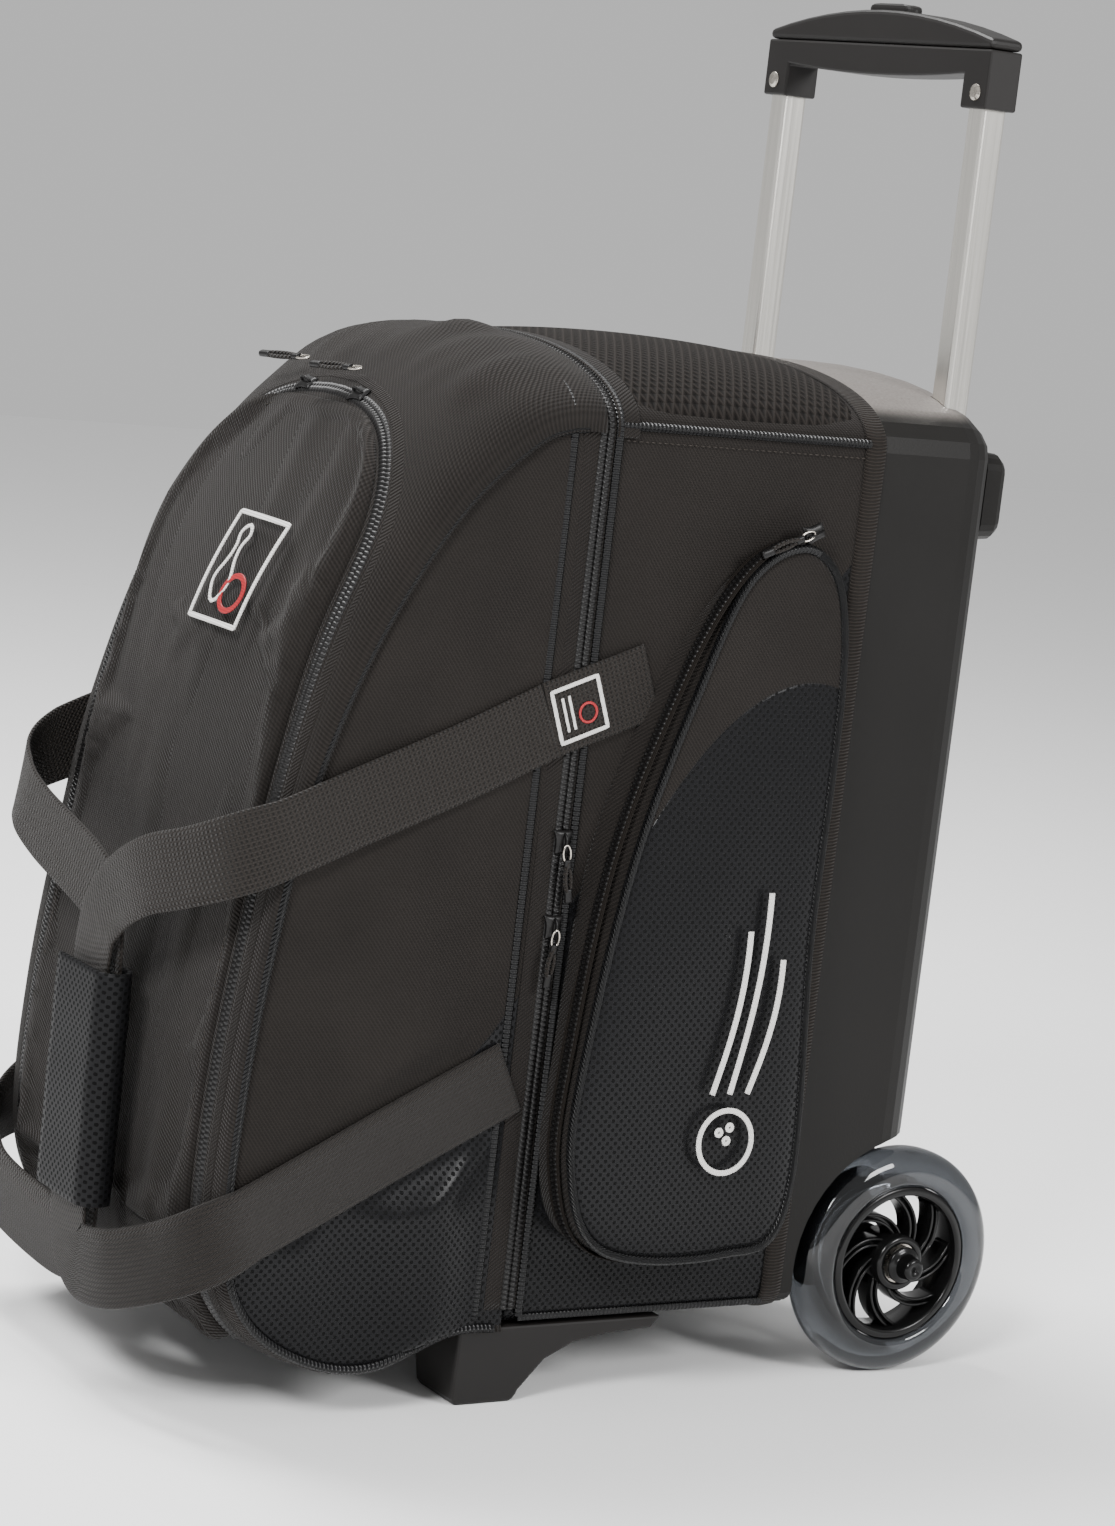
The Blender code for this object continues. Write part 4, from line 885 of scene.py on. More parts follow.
def press_under_straps(obj, side):
    """Cloth held flat where the two straps cross it: x <= limit + slope * distance off."""
    at = np.empty(len(obj.data.vertices) * 3)
    obj.data.vertices.foreach_get("co", at)
    at = at.reshape(-1, 3)
    along = at[:, 1] - STRAP_HINGE_Y
    free = np.full(len(at), 1.0)
    for z, slope in STRAP_LINES:
        off = np.abs(at[:, 2] - z - slope * along) * 0.92
        free = np.minimum(free, ease((off - STRAP_REACH) / STRAP_EASE))
    limit = HALF + 0.0011 + free * FREE_CROWN
    at[:, 0] = side * np.minimum(at[:, 0] * side, limit)
    obj.data.vertices.foreach_set("co", at.ravel())
    obj.data.update()


def seam_pipes():
    """Piping along the lid's two side seams."""
    s = np.linspace(0.008, 0.985, 420)
    y, z, _, oy, oz = seam_at(s)
    r = sizes().piping_radius
    for side, word in SIDES:
        path = np.stack([np.full_like(y, side * (HALF + r * 0.55)), y + oy * r * 0.45,
                         z + oz * r * 0.45], 1)
        out = np.stack([np.full_like(y, side), oy, oz], 1)
        pipe = carried("lid_piping_" + word, round_profile(r), path, out, finish("piping"))
        lid_piece(pipe, "vinyl")


# ---------------------------------------------------------------- front pocket
POCKET_LOW, POCKET_HIGH = 0.215, 0.892         # shares of the seam that the pocket covers
POCKET_TURN = 0.740                            # share at which its sides start to turn in
POCKET_HALF = 0.1010
SEAM_LENGTH = 0.690


def pocket_half(s):
    """Half width of the front pocket: straight sides, then a rounded top."""
    share = np.clip((s - POCKET_TURN) / (POCKET_HIGH - POCKET_TURN), 0, 1)
    return POCKET_HALF * np.clip(1 - share ** 3.0, 0.0, 1) ** (1 / 3.0)


def front_pocket():
    s = np.linspace(POCKET_LOW, POCKET_HIGH - 0.0004, 150)[:, None]
    t = np.linspace(1, -1, 60)[None, :]
    x = pocket_half(s) * t
    rim = np.clip((1 - np.abs(t)) * 9, 0, 1) * np.clip((POCKET_HIGH - s) * 45, 0, 1)
    soft = np.sin(rim * np.pi / 2)
    wave = folds(s, t, ((0.0028, 2.2, 0.6, 0.9), (0.0020, 4.1, -0.5, 2.0)))
    points = lid_points(s, x, 0.0012 + soft * (0.0045 + wave))
    obj = surface("front_pocket_panel", points, finish("twill"), flat=(s * SEAM_LENGTH, x))
    held = np.zeros(points.shape[:2])
    held[[0, -1]] = 1
    held[:, [0, 1, -2, -1]] = 1
    puff(obj, held, pressure=4.0, grow=0.02, cap=0.005)
    solidify(obj, 0.0016)
    lid_piece(obj, "fabric", "front_pocket")


def lid_out(s, x):
    """Outward normal of the lid: minus the arch's slope across, and the seam's outward."""
    _, _, rise, oy, oz = seam_at(s)
    t = np.clip(np.abs(x) / HALF, 0, 0.97)
    slope = rise / HALF * t ** (ARCH - 1) * (1 - t ** ARCH) ** (1 / ARCH - 1)
    return np.stack(np.broadcast_arrays(slope * np.sign(x), oy, oz), -1)


def pocket_path(lift, widen, count=460):
    """Line round the front pocket: up the near side, over the top, down the far side."""
    s = POCKET_HIGH - (POCKET_HIGH - POCKET_LOW) * np.linspace(1, 0, 320) ** 1.6
    half = pocket_half(s)
    above = s + widen / SEAM_LENGTH * (1 - half / POCKET_HALF)
    up = np.hstack([lid_points(above, half + widen, lift), above[:, None]])
    path = resample(np.vstack([up, up[::-1] * (-1, 1, 1, 1)]), count)
    return path[:, :3], lid_out(path[:, 3], path[:, 0])


def front_pocket_trim():
    path, out = pocket_path(0.0022, 0.0060)
    tape = carried("front_pocket_tape", flat_profile(0.0170, 0.0008), path, out, finish("tape"))
    lid_piece(tape, "zipper")
    teeth = coil_row("front_pocket_coil", path + out * 0.0006, out)
    lid_piece(teeth, "zipper")
    path, out = pocket_path(0.0024, 0.0145)
    welt = carried("front_pocket_welt", flat_profile(0.0070, 0.0020), path, out, finish("twill"))
    lid_piece(welt, "fabric")
    stitches("front_pocket_stitches", *pocket_path(0.0046, -0.0060), lid_piece)


def stitches(name, path, out, place, pitch=0.0036):
    """Row of lockstitches: short ellipsoids of thread, two thirds of a pitch long."""
    length = path_length(path)
    count = max(int(length / pitch), 2)
    spots, outs = resample(path, count), resample(out, count)
    along, up, side = frames(spots, outs)
    t = np.linspace(-1, 1, 5)[None, :, None, None]
    a = np.linspace(0, 2 * np.pi, 5)[:-1][None, None, :, None]
    wide = 0.00032 * np.sqrt(np.clip(1.1 - t ** 2, 0.1, 1))
    points = (spots[:, None, None] + along[:, None, None] * t * pitch * 0.34
              + side[:, None, None] * wide * np.cos(a) + up[:, None, None] * wide * np.sin(a))
    index = np.arange(points.shape[0] * 20).reshape(-1, 5, 4)
    faces = np.stack([index[:, :-1], np.roll(index, -1, 2)[:, :-1],
                      np.roll(index, -1, 2)[:, 1:], index[:, 1:]], -1).reshape(-1, 4)
    ends = np.concatenate([index[:, 0, ::-1], index[:, -1]])
    every = np.concatenate([faces, ends]).tolist()
    verts = points.reshape(-1, 3)
    row = new_mesh(name, verts, every, np.zeros((len(every) * 4, 2)), finish("thread"))
    place(row, "webbing") if place is lid_piece else place(row, "bag", "webbing")


# ---------------------------------------------------------------- zippers
def coil_row(name, path, out):
    """Closed coil: two rows of rounded loops, half a pitch apart, as one rippled strip."""
    pitch, width = sizes().coil_pitch, sizes().coil_width
    length = path_length(path)
    count = int(length / pitch * 5)
    path, out = resample(path, count), resample(out, count)
    run = np.linspace(0, length, count)[:, None]
    across = np.linspace(-1, 1, 13)[None, :]
    loop = np.sin(2 * np.pi * run / pitch + np.where(across > 0, np.pi, 0))
    crown = np.sqrt(np.clip(1 - across ** 2, 0, 1)) * (1 - 0.35 * np.exp(-(across * 5) ** 2))
    height = crown * (0.0010 + 0.00055 * loop)
    _, up, side = frames(path, out)
    points = path[:, None] + side[:, None] * (across * width)[..., None] \
        + up[:, None] * height[..., None]
    return surface(name, points, finish("coil"), flip=True)


def half_coil(name, path, out, sideways):
    """One half of the main coil, on the side of the path that `sideways` gives."""
    pitch, width = sizes().coil_pitch, sizes().coil_width
    length = path_length(path)
    count = int(length / pitch * 5)
    path, out = resample(path, count), resample(out, count)
    run = np.linspace(0, length, count)[:, None]
    across = np.linspace(0, 1, 8)[None, :]
    loop = np.sin(2 * np.pi * run / pitch + (np.pi if sideways > 0 else 0))
    height = np.sqrt(np.clip(1 - (across * 2 - 1) ** 2, 0, 1)) * (0.0012 + 0.0006 * loop)
    _, up, _ = frames(path, out)
    aside = np.array((0.0, sideways, 0.0))
    points = path[:, None] + aside * (across * width)[..., None] + up[:, None] * height[..., None]
    return surface(name, points, finish("coil"), flip=sideways > 0)


def main_zipper():
    base = FLOOR + 0.010
    for word, sideways, body in (("front", -1, "lid"), ("rear", 1, "bag")):
        shift = 0.0002 if word == "rear" else 0.0
        path, out = over_path(ZIP_Y + shift, base, 0.0012)
        coil = half_coil("main_coil_" + word, path, out, sideways)
        width = 0.0140 if word == "front" else 0.0050
        tape_path, tape_out = over_path(ZIP_Y + shift + sideways * width / 2, base, 0.0007)
        tape = carried("main_tape_" + word, flat_profile(width, 0.0009), tape_path, tape_out,
                       finish("twill"))
        pipe_y = ZIP_Y - 0.0190 if word == "front" else ZIP_Y + 0.0076
        pipe_path, pipe_out = over_path(pipe_y, base - 0.004, 0.0008, 520)
        pipe = carried("band_piping_" + word, round_profile(sizes().piping_radius), pipe_path,
                       pipe_out, finish("piping"))
        if body == "lid":
            lid_piece(coil, "zipper")
            lid_piece(tape, "zipper", "main_zip_front")
            lid_piece(pipe, "vinyl")
        else:
            piece(coil, "bag", "zipper")
            piece(tape, "bag", "zipper", "main_zip_rear")
            piece(pipe, "bag", "vinyl")


def slider(name, centre, along, out, body, node=None):
    """Zipper slider: a flared body with a bridge; width is 1 - 0.35 t^2 along it."""
    along, out = np.array(along, float), np.array(out, float)
    along /= np.linalg.norm(along)
    side = np.cross(along, out)
    t = np.linspace(-1, 1, 13)[:, None]
    ring = box_profile(2.0, 2.0, 0.7, 4)[None]
    half = 0.0040 + 0.0018 * np.clip(t, 0, 1) ** 1.5
    thick = 0.0018 * np.sqrt(np.clip(1.02 - t ** 6, 0.02, 1))
    points = (np.array(centre) + along * (t * 0.0062)[..., None]
              + side * (ring[..., 0] * half)[..., None]
              + out * (ring[..., 1] * thick + 0.0012)[..., None])
    shape = surface(name, points, finish("coil"), wrap_cols=True, caps=True)
    a = np.linspace(0, np.pi, 16)[:, None]
    bridge = (np.array(centre) + out * 0.0026 + along * np.cos(a) * 0.0042
              + out * np.sin(a) * 0.0026)
    loop = carried(name + "_bridge", flat_profile(0.0022, 0.0010), bridge,
                   np.repeat(side[None], 16, 0), finish("coil"))
    whole = join(name, [shape, loop])
    piece(whole, body, "zipper", *([node] if node else []))


def pull(name, pivot, aim, out, body, node, length=0.030):
    """Pull: a wire link, a crimp and a doubled cord that ends in a moulded tip."""
    pivot, aim, out = (np.array(v, float) for v in (pivot, aim, out))
    aim /= np.linalg.norm(aim)
    side = np.cross(aim, out)
    side /= np.linalg.norm(side)
    a = np.linspace(0, 2 * np.pi, 24, endpoint=False)[:, None]
    link = pivot + aim * (0.0042 - 0.0045 * np.cos(a)) + side * 0.0022 * np.sin(a)
    parts = [carried(name, round_profile(0.0006, 6), link, out, finish("steel"), closed=True)]
    for k in (-1, 1):
        t = np.linspace(0, 1, 20)[:, None]
        bow = np.sin(np.pi * t) * 0.0018 * k
        cord = pivot + aim * (0.0085 + (length - 0.0085) * t) + side * bow + out * 0.0004 * k
        parts.append(carried(name, round_profile(0.0012, 8), cord, out, finish("webbing")))
    for at, long, wide in ((0.0095, 0.0045, 0.0019), (length - 0.001, 0.0070, 0.0021)):
        t = np.linspace(-1, 1, 9)[:, None]
        path = pivot + aim * (at + t * long / 2)
        parts.append(carried(name, box_profile(wide * 2, wide * 1.5, wide * 0.6, 3), path, out,
                             finish("coil")))
    piece(join(name, parts), body, "zipper", node)


def sliders_and_pulls():
    for word in ("upper", "lower"):
        centre = middle("main_slider_" + word)
        spot = (high("main_zip_rear")[0] + 0.0003, ZIP_Y, centre[2])
        slider("main_slider_body_" + word, spot, (0, 0, 1), (1, 0, 0), "zip_slider_" + word,
               "main_slider_" + word)
        top = high("main_pull_" + word)
        hold = (middle("main_pull_" + word)[0], ZIP_Y, top[2] - 0.0020)
        lean = 0.16 if word == "upper" else -0.10
        pull("main_pull_cord_" + word, hold, (0, lean, -1), (1, 0, 0), "zip_pull_" + word,
             "main_pull_" + word, 0.027)
    for side, word in SIDES:
        node = "side_slider_" + word
        centre = middle(node)
        slider("side_slider_body_" + word, centre, (0, -0.9, -0.4), (side, 0, 0), "bag", node)
        node = "side_pull_" + word
        b = high(node)
        hold = (middle(node)[0], b[1] - 0.002, b[2] - 0.003)
        pull("side_pull_cord_" + word, hold, (0, -0.92, -0.38), (side, 0, 0),
             "side_zip_pull_" + word, node, 0.031)
        node = "front_pull_" + word
        b = high(node)
        hold = (b[0] - 0.002, middle(node)[1], middle(node)[2])
        pull("front_pull_cord_" + word, hold, (-1, -0.25, -0.05), (0, -0.4, 1),
             "front_zip_pull_" + word, node, 0.034)
        s = POCKET_HIGH + 0.0060 / SEAM_LENGTH
        spot = lid_points(np.array(s), np.array(hold[0]), 0.0026)
        slider("front_slider_" + word, spot, (-1, 0, 0), lid_out(np.array(s), np.array(0.0)),
               "lid")


# ---------------------------------------------------------------- ball case
def section_ring(count=220):
    """Closed section of the case: flat floor, round lower corners, arched top."""
    r = 0.012
    a = np.linspace(-np.pi / 2, 0, 10)
    corner = np.stack([HALF - r + r * np.cos(a), FLOOR + r + r * np.sin(a)], 1)
    x = arch_x(90)
    top = np.stack([x, SIDE_TOP + arch_height(x)], 1)
    ring = np.vstack([corner, top, corner[::-1] * (-1, 1)])
    ring = np.vstack([ring, ring[:1]])
    return resample(ring, count + 1)[:-1]


def ball_case():
    ring = section_ring()
    y = np.linspace(ZIP_Y + 0.0006, SHELL_FRONT + 0.0010, 46)[:, None]
    share = (y - y[0]) / (y[-1] - y[0])
    x, z = ring[None, :, 0], ring[None, :, 1]
    upright = np.clip((z - FLOOR - 0.01) / 0.05, 0, 1) * np.clip((SIDE_TOP - z) / 0.03, 0, 1)
    swell = np.sin(np.pi * share) ** 0.8 * upright * (0.0018 + folds(
        share, z * 2.2, ((0.0010, 0.8, 2.0, 0.3), (0.0008, 1.1, -2.7, 1.2))))
    points = np.stack(np.broadcast_arrays(x + np.sign(x) * swell, y, z), 2)
    obj = surface("case_skin", points, finish("case_side"), wrap_cols=True, flip=True)
    solidify(obj, 0.0045)
    piece(obj, "bag", "fabric", "ball_case")


def case_trim():
    """Seam piping along the case's upper and lower edges, and the ribbed binding."""
    r = sizes().piping_radius
    y = np.linspace(ZIP_Y + 0.0090, SHELL_FRONT - 0.004, 120)
    for side, word in SIDES:
        for edge, z, x in (("upper", SIDE_TOP + 0.0040, HALF - 0.0006),
                           ("lower", FLOOR + 0.0042, HALF - 0.0034)):
            path = np.stack([np.full_like(y, side * (x + r * 0.5)), y, np.full_like(y, z)], 1)
            pipe = carried(f"case_piping_{edge}_{word}", round_profile(r), path,
                           (side, 0, 1 if edge == "upper" else -1), finish("piping"))
            piece(pipe, "bag", "vinyl")
        line = np.stack([np.full_like(y, side * (HALF + 0.0013)), y,
                         np.full_like(y, SIDE_TOP - 0.0035)], 1)
        stitches("case_stitches_" + word, line, np.tile((side, 0, 0), (len(y), 1)), piece)
    ring = section_ring(420)
    y = SHELL_FRONT + np.array((-0.0062, -0.0058, -0.0035, 0.0, 0.0035, 0.0066, 0.0071))
    lift = np.array((0.0004, 0.0013, 0.0017, 0.0019, 0.0017, 0.0013, 0.0004))
    step = np.roll(ring, -1, 0) - np.roll(ring, 1, 0)
    step /= np.linalg.norm(step, axis=1, keepdims=True)
    out = np.stack([step[:, 1], -step[:, 0]], 1)
    flat = ring[:, None] + out[:, None] * lift[None, :, None]
    points = np.stack([flat[..., 0], np.broadcast_to(y, flat.shape[:2]), flat[..., 1]], 2)
    band = surface("shell_binding_tape", points, finish("grosgrain"), wrap_rows=True, flip=True)
    piece(band, "bag", "webbing", "shell_binding")


def top_pocket():
    """Knitted pocket over the arched top, puffed between its seams."""
    y = np.linspace(ZIP_Y + 0.0105, SHELL_FRONT - 0.0075, 44)[:, None]
    x = arch_x(90, HALF - 0.002)[None, 3:-3]
    share = (y - y[0]) / (y[-1] - y[0])
    puffed = np.sin(np.pi * share) ** 0.6 * np.sin(
        np.pi * np.linspace(0.02, 0.98, x.shape[1]))[None] ** 0.5
    z = SIDE_TOP + arch_height(x, HALF - 0.002) + 0.0008 + 0.0052 * puffed
    points = np.stack(np.broadcast_arrays(x, y, z), 2)
    obj = surface("top_mesh_pocket", points, finish("knit"), flip=True, flat=(y, x))
    solidify(obj, 0.0015)
    piece(obj, "bag", "fabric", "top_pocket")
    path, out = over_path(ZIP_Y + 0.0120, SIDE_TOP - 0.002, 0.0020)
    welt = carried("top_pocket_hem", flat_profile(0.0130, 0.0014), path, out, finish("twill"))
    piece(welt, "bag", "fabric")


# ---------------------------------------------------------------- side pockets
OUTLINE = curve(POCKET_OUTLINE, 260, closed=True)[:-1]
OUTLINE[:, 0] += TUBE_PLANE
OUTLINE_MIDDLE = OUTLINE.mean(0)
POCKET_FOOT, POCKET_HEAD = 0.084, 0.458        # z of the outline's lowest and highest points
FOOT_DEPTH, HEAD_DEPTH = 0.037, 0.016


def pocket_depth(z):
    """Depth of the side pocket: a straight slope from its foot to its head."""
    return FOOT_DEPTH + (HEAD_DEPTH - FOOT_DEPTH) * (z - POCKET_FOOT) / (POCKET_HEAD - POCKET_FOOT)


def pocket_ring(spread, depth_share, inset=0.0):
    """Pocket's outline shrunk towards its middle; its base spreads forward at the top."""
    reach = OUTLINE - OUTLINE_MIDDLE
    length = np.linalg.norm(reach, axis=1, keepdims=True)
    flat = OUTLINE_MIDDLE + reach * (spread - inset / length)
    ahead = ease(-reach[:, 0] / 0.030) * ease((OUTLINE[:, 1] - 0.160) / 0.20)
    flat[:, 0] -= ahead * 0.0150 * np.clip(1 - depth_share / 0.86, 0, 1)
    return flat, pocket_depth(flat[:, 1]) * depth_share


def side_pocket(side, word):
    """Gusset from the side wall to the face's edge, then the crowned face."""
    back = HALF + 0.0008
    steps = np.linspace(0, 1, 14)
    rows = []
    for t in steps:
        inset = 0.0004 + 0.0030 * t ** 2 - 0.0012 * np.sin(np.pi * t)
        flat, depth = pocket_ring(1.0, t * 0.86, inset)
        rows.append(np.stack([side * (back + depth), flat[:, 0], flat[:, 1]], 1))
    gusset = surface("side_gusset_" + word, np.array(rows), finish("twill"), wrap_cols=True,
                     flip=side < 0)
    solidify(gusset, 0.0014)
    piece(gusset, "bag", "fabric", "side_pocket_" + word)
    rows = []
    spreads = np.linspace(1.0, 0.0, 34)
    for k in spreads:
        flat, depth = pocket_ring(k, 1.0, 0.0034 * k)
        crown = 0.86 + 0.14 * np.sqrt(1 - k ** 4)
        wave = folds(flat[:, 0] * 6, flat[:, 1] * 2.5, ((0.0010, 0.8, 1.1, 0.3),
                                                       (0.0008, 1.3, -1.6, 1.4)))
        depth = depth * crown + wave * (1 - k ** 3)
        rows.append(np.stack([side * (back + depth), flat[:, 0], flat[:, 1]], 1))
    face = surface("side_face_" + word, np.array(rows), finish("pocket_face"), wrap_cols=True,
                   flip=side < 0)
    remap_uv_flat(face, (1, 2))
    held = np.zeros((len(spreads), len(OUTLINE)))
    held[0] = 1
    puff(face, held, pressure=4.0, grow=0.02, cap=0.005)
    solidify(face, 0.0014)
    piece(face, "bag", "vinyl")
    flat, depth = pocket_ring(1.0, 0.88, 0.0030)
    path = np.stack([side * (back + depth), flat[:, 0], flat[:, 1]], 1)
    path = resample(np.vstack([path, path[:1]]), 421)[:-1]
    pipe = carried("side_piping_" + word, round_profile(sizes().piping_radius), path,
                   (side, 0, 0), finish("piping"), closed=True)
    piece(pipe, "bag", "vinyl")
    flat, depth = pocket_ring(1.0, 0.50, 0.0008)
    path = np.stack([side * (back + depth), flat[:, 0], flat[:, 1]], 1)
    out = np.stack([np.zeros(len(path)), *(flat - OUTLINE_MIDDLE).T], 1)
    line, away = resample(path, 400)[8:268], resample(out, 400)[8:268]
    line = line + away / np.linalg.norm(away, axis=1, keepdims=True) * 0.0016
    tape = carried("side_tape_" + word, flat_profile(0.0130, 0.0008), line, away, finish("tape"))
    piece(tape, "bag", "zipper")
    teeth = coil_row("side_coil_" + word, line, away)
    piece(teeth, "bag", "zipper")


def remap_uv_flat(obj, axes):
    """UV straight from two coordinates, in metres, so a pattern isn't pinched at a pole."""
    mesh = obj.data
    at = np.empty(len(mesh.vertices) * 3)
    mesh.vertices.foreach_get("co", at)
    index = np.empty(len(mesh.loops), int)
    mesh.loops.foreach_get("vertex_index", index)
    flat = at.reshape(-1, 3)[index][:, list(axes)]
    mesh.uv_layers["metres"].data.foreach_set("uv", flat.astype(np.float32).ravel())


# ---------------------------------------------------------------- straps
def strap_route(side):
    """Carrying strap's middle line, the CAD route: shoulder, corner, hand pad, return."""
    out_y = -0.4370 + (-0.0030 if side > 0 else 0.0030)
    hand, x = 0.0220 * side, STRAP_X
    y = STRAP_HINGE_Y - TUBE_PLANE - 0.0012
    route = np.array((
        (x, y, 0.3620), (x, -0.3000, 0.3400), (x + 0.002, -0.3550, 0.3180),
        (x + 0.002, -0.3930, 0.3020), (x - 0.008, -0.4200, 0.2900), (0.0980, -0.4320, 0.2800),
        (0.0680, out_y, 0.2690), (hand + 0.014, out_y, 0.2500), (hand, out_y, 0.2260),
        (hand, out_y, 0.1550), (hand, out_y, 0.0860), (hand + 0.014, out_y, 0.0660),
        (0.0680, out_y, 0.0690), (0.0980, -0.4320, 0.0800), (x - 0.006, -0.4200, 0.0930),
        (x + 0.002, -0.3980, 0.1060), (x + 0.002, -0.3600, 0.1250), (x, -0.3050, 0.1520),
        (x, y, 0.1780)))
    route[:, 1] += TUBE_PLANE
    path = curve(route, 330)
    turn = np.clip((frame_y(-0.395) - path[:, 1]) / 0.036, 0, 1) * np.pi / 2
    out = np.stack([np.cos(turn), -np.sin(turn), np.zeros_like(turn)], 1)
    return path * (side, 1, 1), out * (side, 1, 1)


def straps():
    width, thick = sizes().strap_width, sizes().webbing_thickness
    for side, word in SIDES:
        path, out = strap_route(side)
        strap = carried("strap_webbing_" + word, flat_profile(width, thick), path, out,
                        finish("webbing"))
        piece(strap, "carry_strap_" + word, "webbing", "strap_" + word)
        start = np.array((side * STRAP_X, STRAP_HINGE_Y - 0.0012, 0.3622))
        end = np.array((side * STRAP_X, frame_y(-0.1950), 0.3840))
        t = np.linspace(0, 1, 24)[:, None]
        tab = carried("strap_tab_" + word, flat_profile(width, thick), start + (end - start) * t,
                      (side, 0, 0), finish("webbing"))
        piece(tab, "bag", "webbing", "strap_end_" + word)
        strap_label(side, word, start, end)


def strap_label(side, word, start, end):
    """Square woven label on the strap's sewn end: its border, a ring and two bars."""
    along = (end - start) / np.linalg.norm(end - start)
    up = np.cross((1.0, 0, 0), along) * (1 if along[1] > 0 else -1)
    centre = start + along * 0.0170
    centre[0] += side * (sizes().webbing_thickness / 2 + 0.0003)
    a = np.linspace(0, 2 * np.pi, 4, endpoint=False) + np.pi / 4
    parts = []
    corner = np.stack([np.cos(a), np.sin(a)], 1) * 0.0195
    ring = resample(np.vstack([corner, corner[:1]]), 81)[:-1]
    path = centre + ring[:, :1] * along + ring[:, 1:] * up
    parts.append(carried("label", flat_profile(0.0022, 0.0009), path, (side, 0, 0),
                         finish("embroidery"), closed=True))
    t = np.linspace(0, 2 * np.pi, 40, endpoint=False)[:, None]
    ball = centre + along * (0.0050 * np.cos(t) + 0.0045) + up * (0.0050 * np.sin(t) - 0.003)
    parts.append(carried("label", flat_profile(0.0014, 0.0009), ball, (side, 0, 0),
                         finish("red"), closed=True))
    bar = np.linspace(-0.009, 0.009, 12)[:, None]
    for shift in (-0.0045, -0.0085):
        parts.append(carried("label", flat_profile(0.0016, 0.0009),
                             centre + along * shift + up * bar, (side, 0, 0),
                             finish("embroidery")))
    piece(join("strap_label_" + word, parts), "bag", "webbing")


def hand_pad():
    """Folded hand pad: a U section with a rounded nose, carried up the straps."""
    a, b = low("grip_wrap"), high("grip_wrap")
    thick = 0.0030
    mid_y, x0, x1 = (a[1] + b[1]) / 2, a[0], b[0]
    outer = (b[1] - a[1]) / 2
    t = np.linspace(-np.pi / 2, np.pi / 2, 18)
    nose = np.stack([x1 - outer + outer * np.cos(t), mid_y + outer * np.sin(t)], 1)
    front = np.stack([np.linspace(x0, x1 - outer, 14)[:-1], np.full(13, a[1])], 1)
    back = np.stack([np.linspace(x1 - outer, x0, 14)[1:], np.full(13, b[1])], 1)
    line = np.vstack([front, nose, back])
    heights = np.linspace(a[2], b[2], 50)[:, None]
    share = (heights - a[2]) / (b[2] - a[2])
    bulge = 0.0012 * np.sin(np.pi * share) + 0.0004 * np.sin(share * 17)
    flat = line[None] + np.zeros((50, 1, 1))
    points = np.stack([flat[..., 0], mid_y + (flat[..., 1] - mid_y) * (0.93 + 40 * bulge),
                       np.broadcast_to(heights, flat.shape[:2])], 2)
    pad = surface("hand_pad_wrap", points, finish("vinyl"), flip=True)
    solidify(pad, thick * 0.7)
    piece(pad, "carry_strap_near", "vinyl", "grip_wrap")
    for name, z in (("top", b[2] - 0.004), ("base", a[2] + 0.004)):
        path = np.stack([line[:, 0], mid_y + (line[:, 1] - mid_y) * 1.0, np.full(len(line), z)], 1)
        out = np.stack([np.zeros(len(line)), line[:, 1] - mid_y, np.zeros(len(line))], 1)
        out[13:31, 0] = nose[:, 0] - (x1 - outer)
        hem = carried("hand_pad_hem_" + name, flat_profile(0.0070, 0.0010), resample(path, 90),
                      resample(out + 1e-6, 90), finish("grosgrain"))
        piece(hem, "carry_strap_near", "webbing")


# ---------------------------------------------------------------- wheels
def spoke_path(radius, angle, side):
    """Points in the wheel's middle plane, from radius and angle."""
    return np.stack([np.full_like(radius, WHEEL[0] * side), WHEEL[1] + radius * np.cos(angle),
                     WHEEL[2] + radius * np.sin(angle)], 1)


def hub_spokes(side, word):
    """Eight swirled spokes, each two ribs with a groove between them."""
    parts = []
    radius = np.linspace(0.0145, HUB_R - 0.0050, 18)
    share = (radius - radius[0]) / (radius[-1] - radius[0])
    for k in range(8):
        for rib in (-1, 1):
            angle = 2 * np.pi * k / 8 + side * share * math.radians(52) \
                + rib * (0.0021 + 0.0006 * share) / radius
            path = spoke_path(radius, angle, side)
            parts.append(carried("spoke", box_profile(0.0017, 0.0125, 0.0006, 3), path,
                                 (1, 0, 0), finish("hub")))
        angle = 2 * np.pi * k / 8 + side * share * math.radians(52)
        path = spoke_path(radius, angle, side)
        parts.append(carried("web", box_profile(0.0044, 0.0060, 0.0005, 2), path, (1, 0, 0),
                             finish("hub")))
    return join("hub_spokes_" + word, parts)


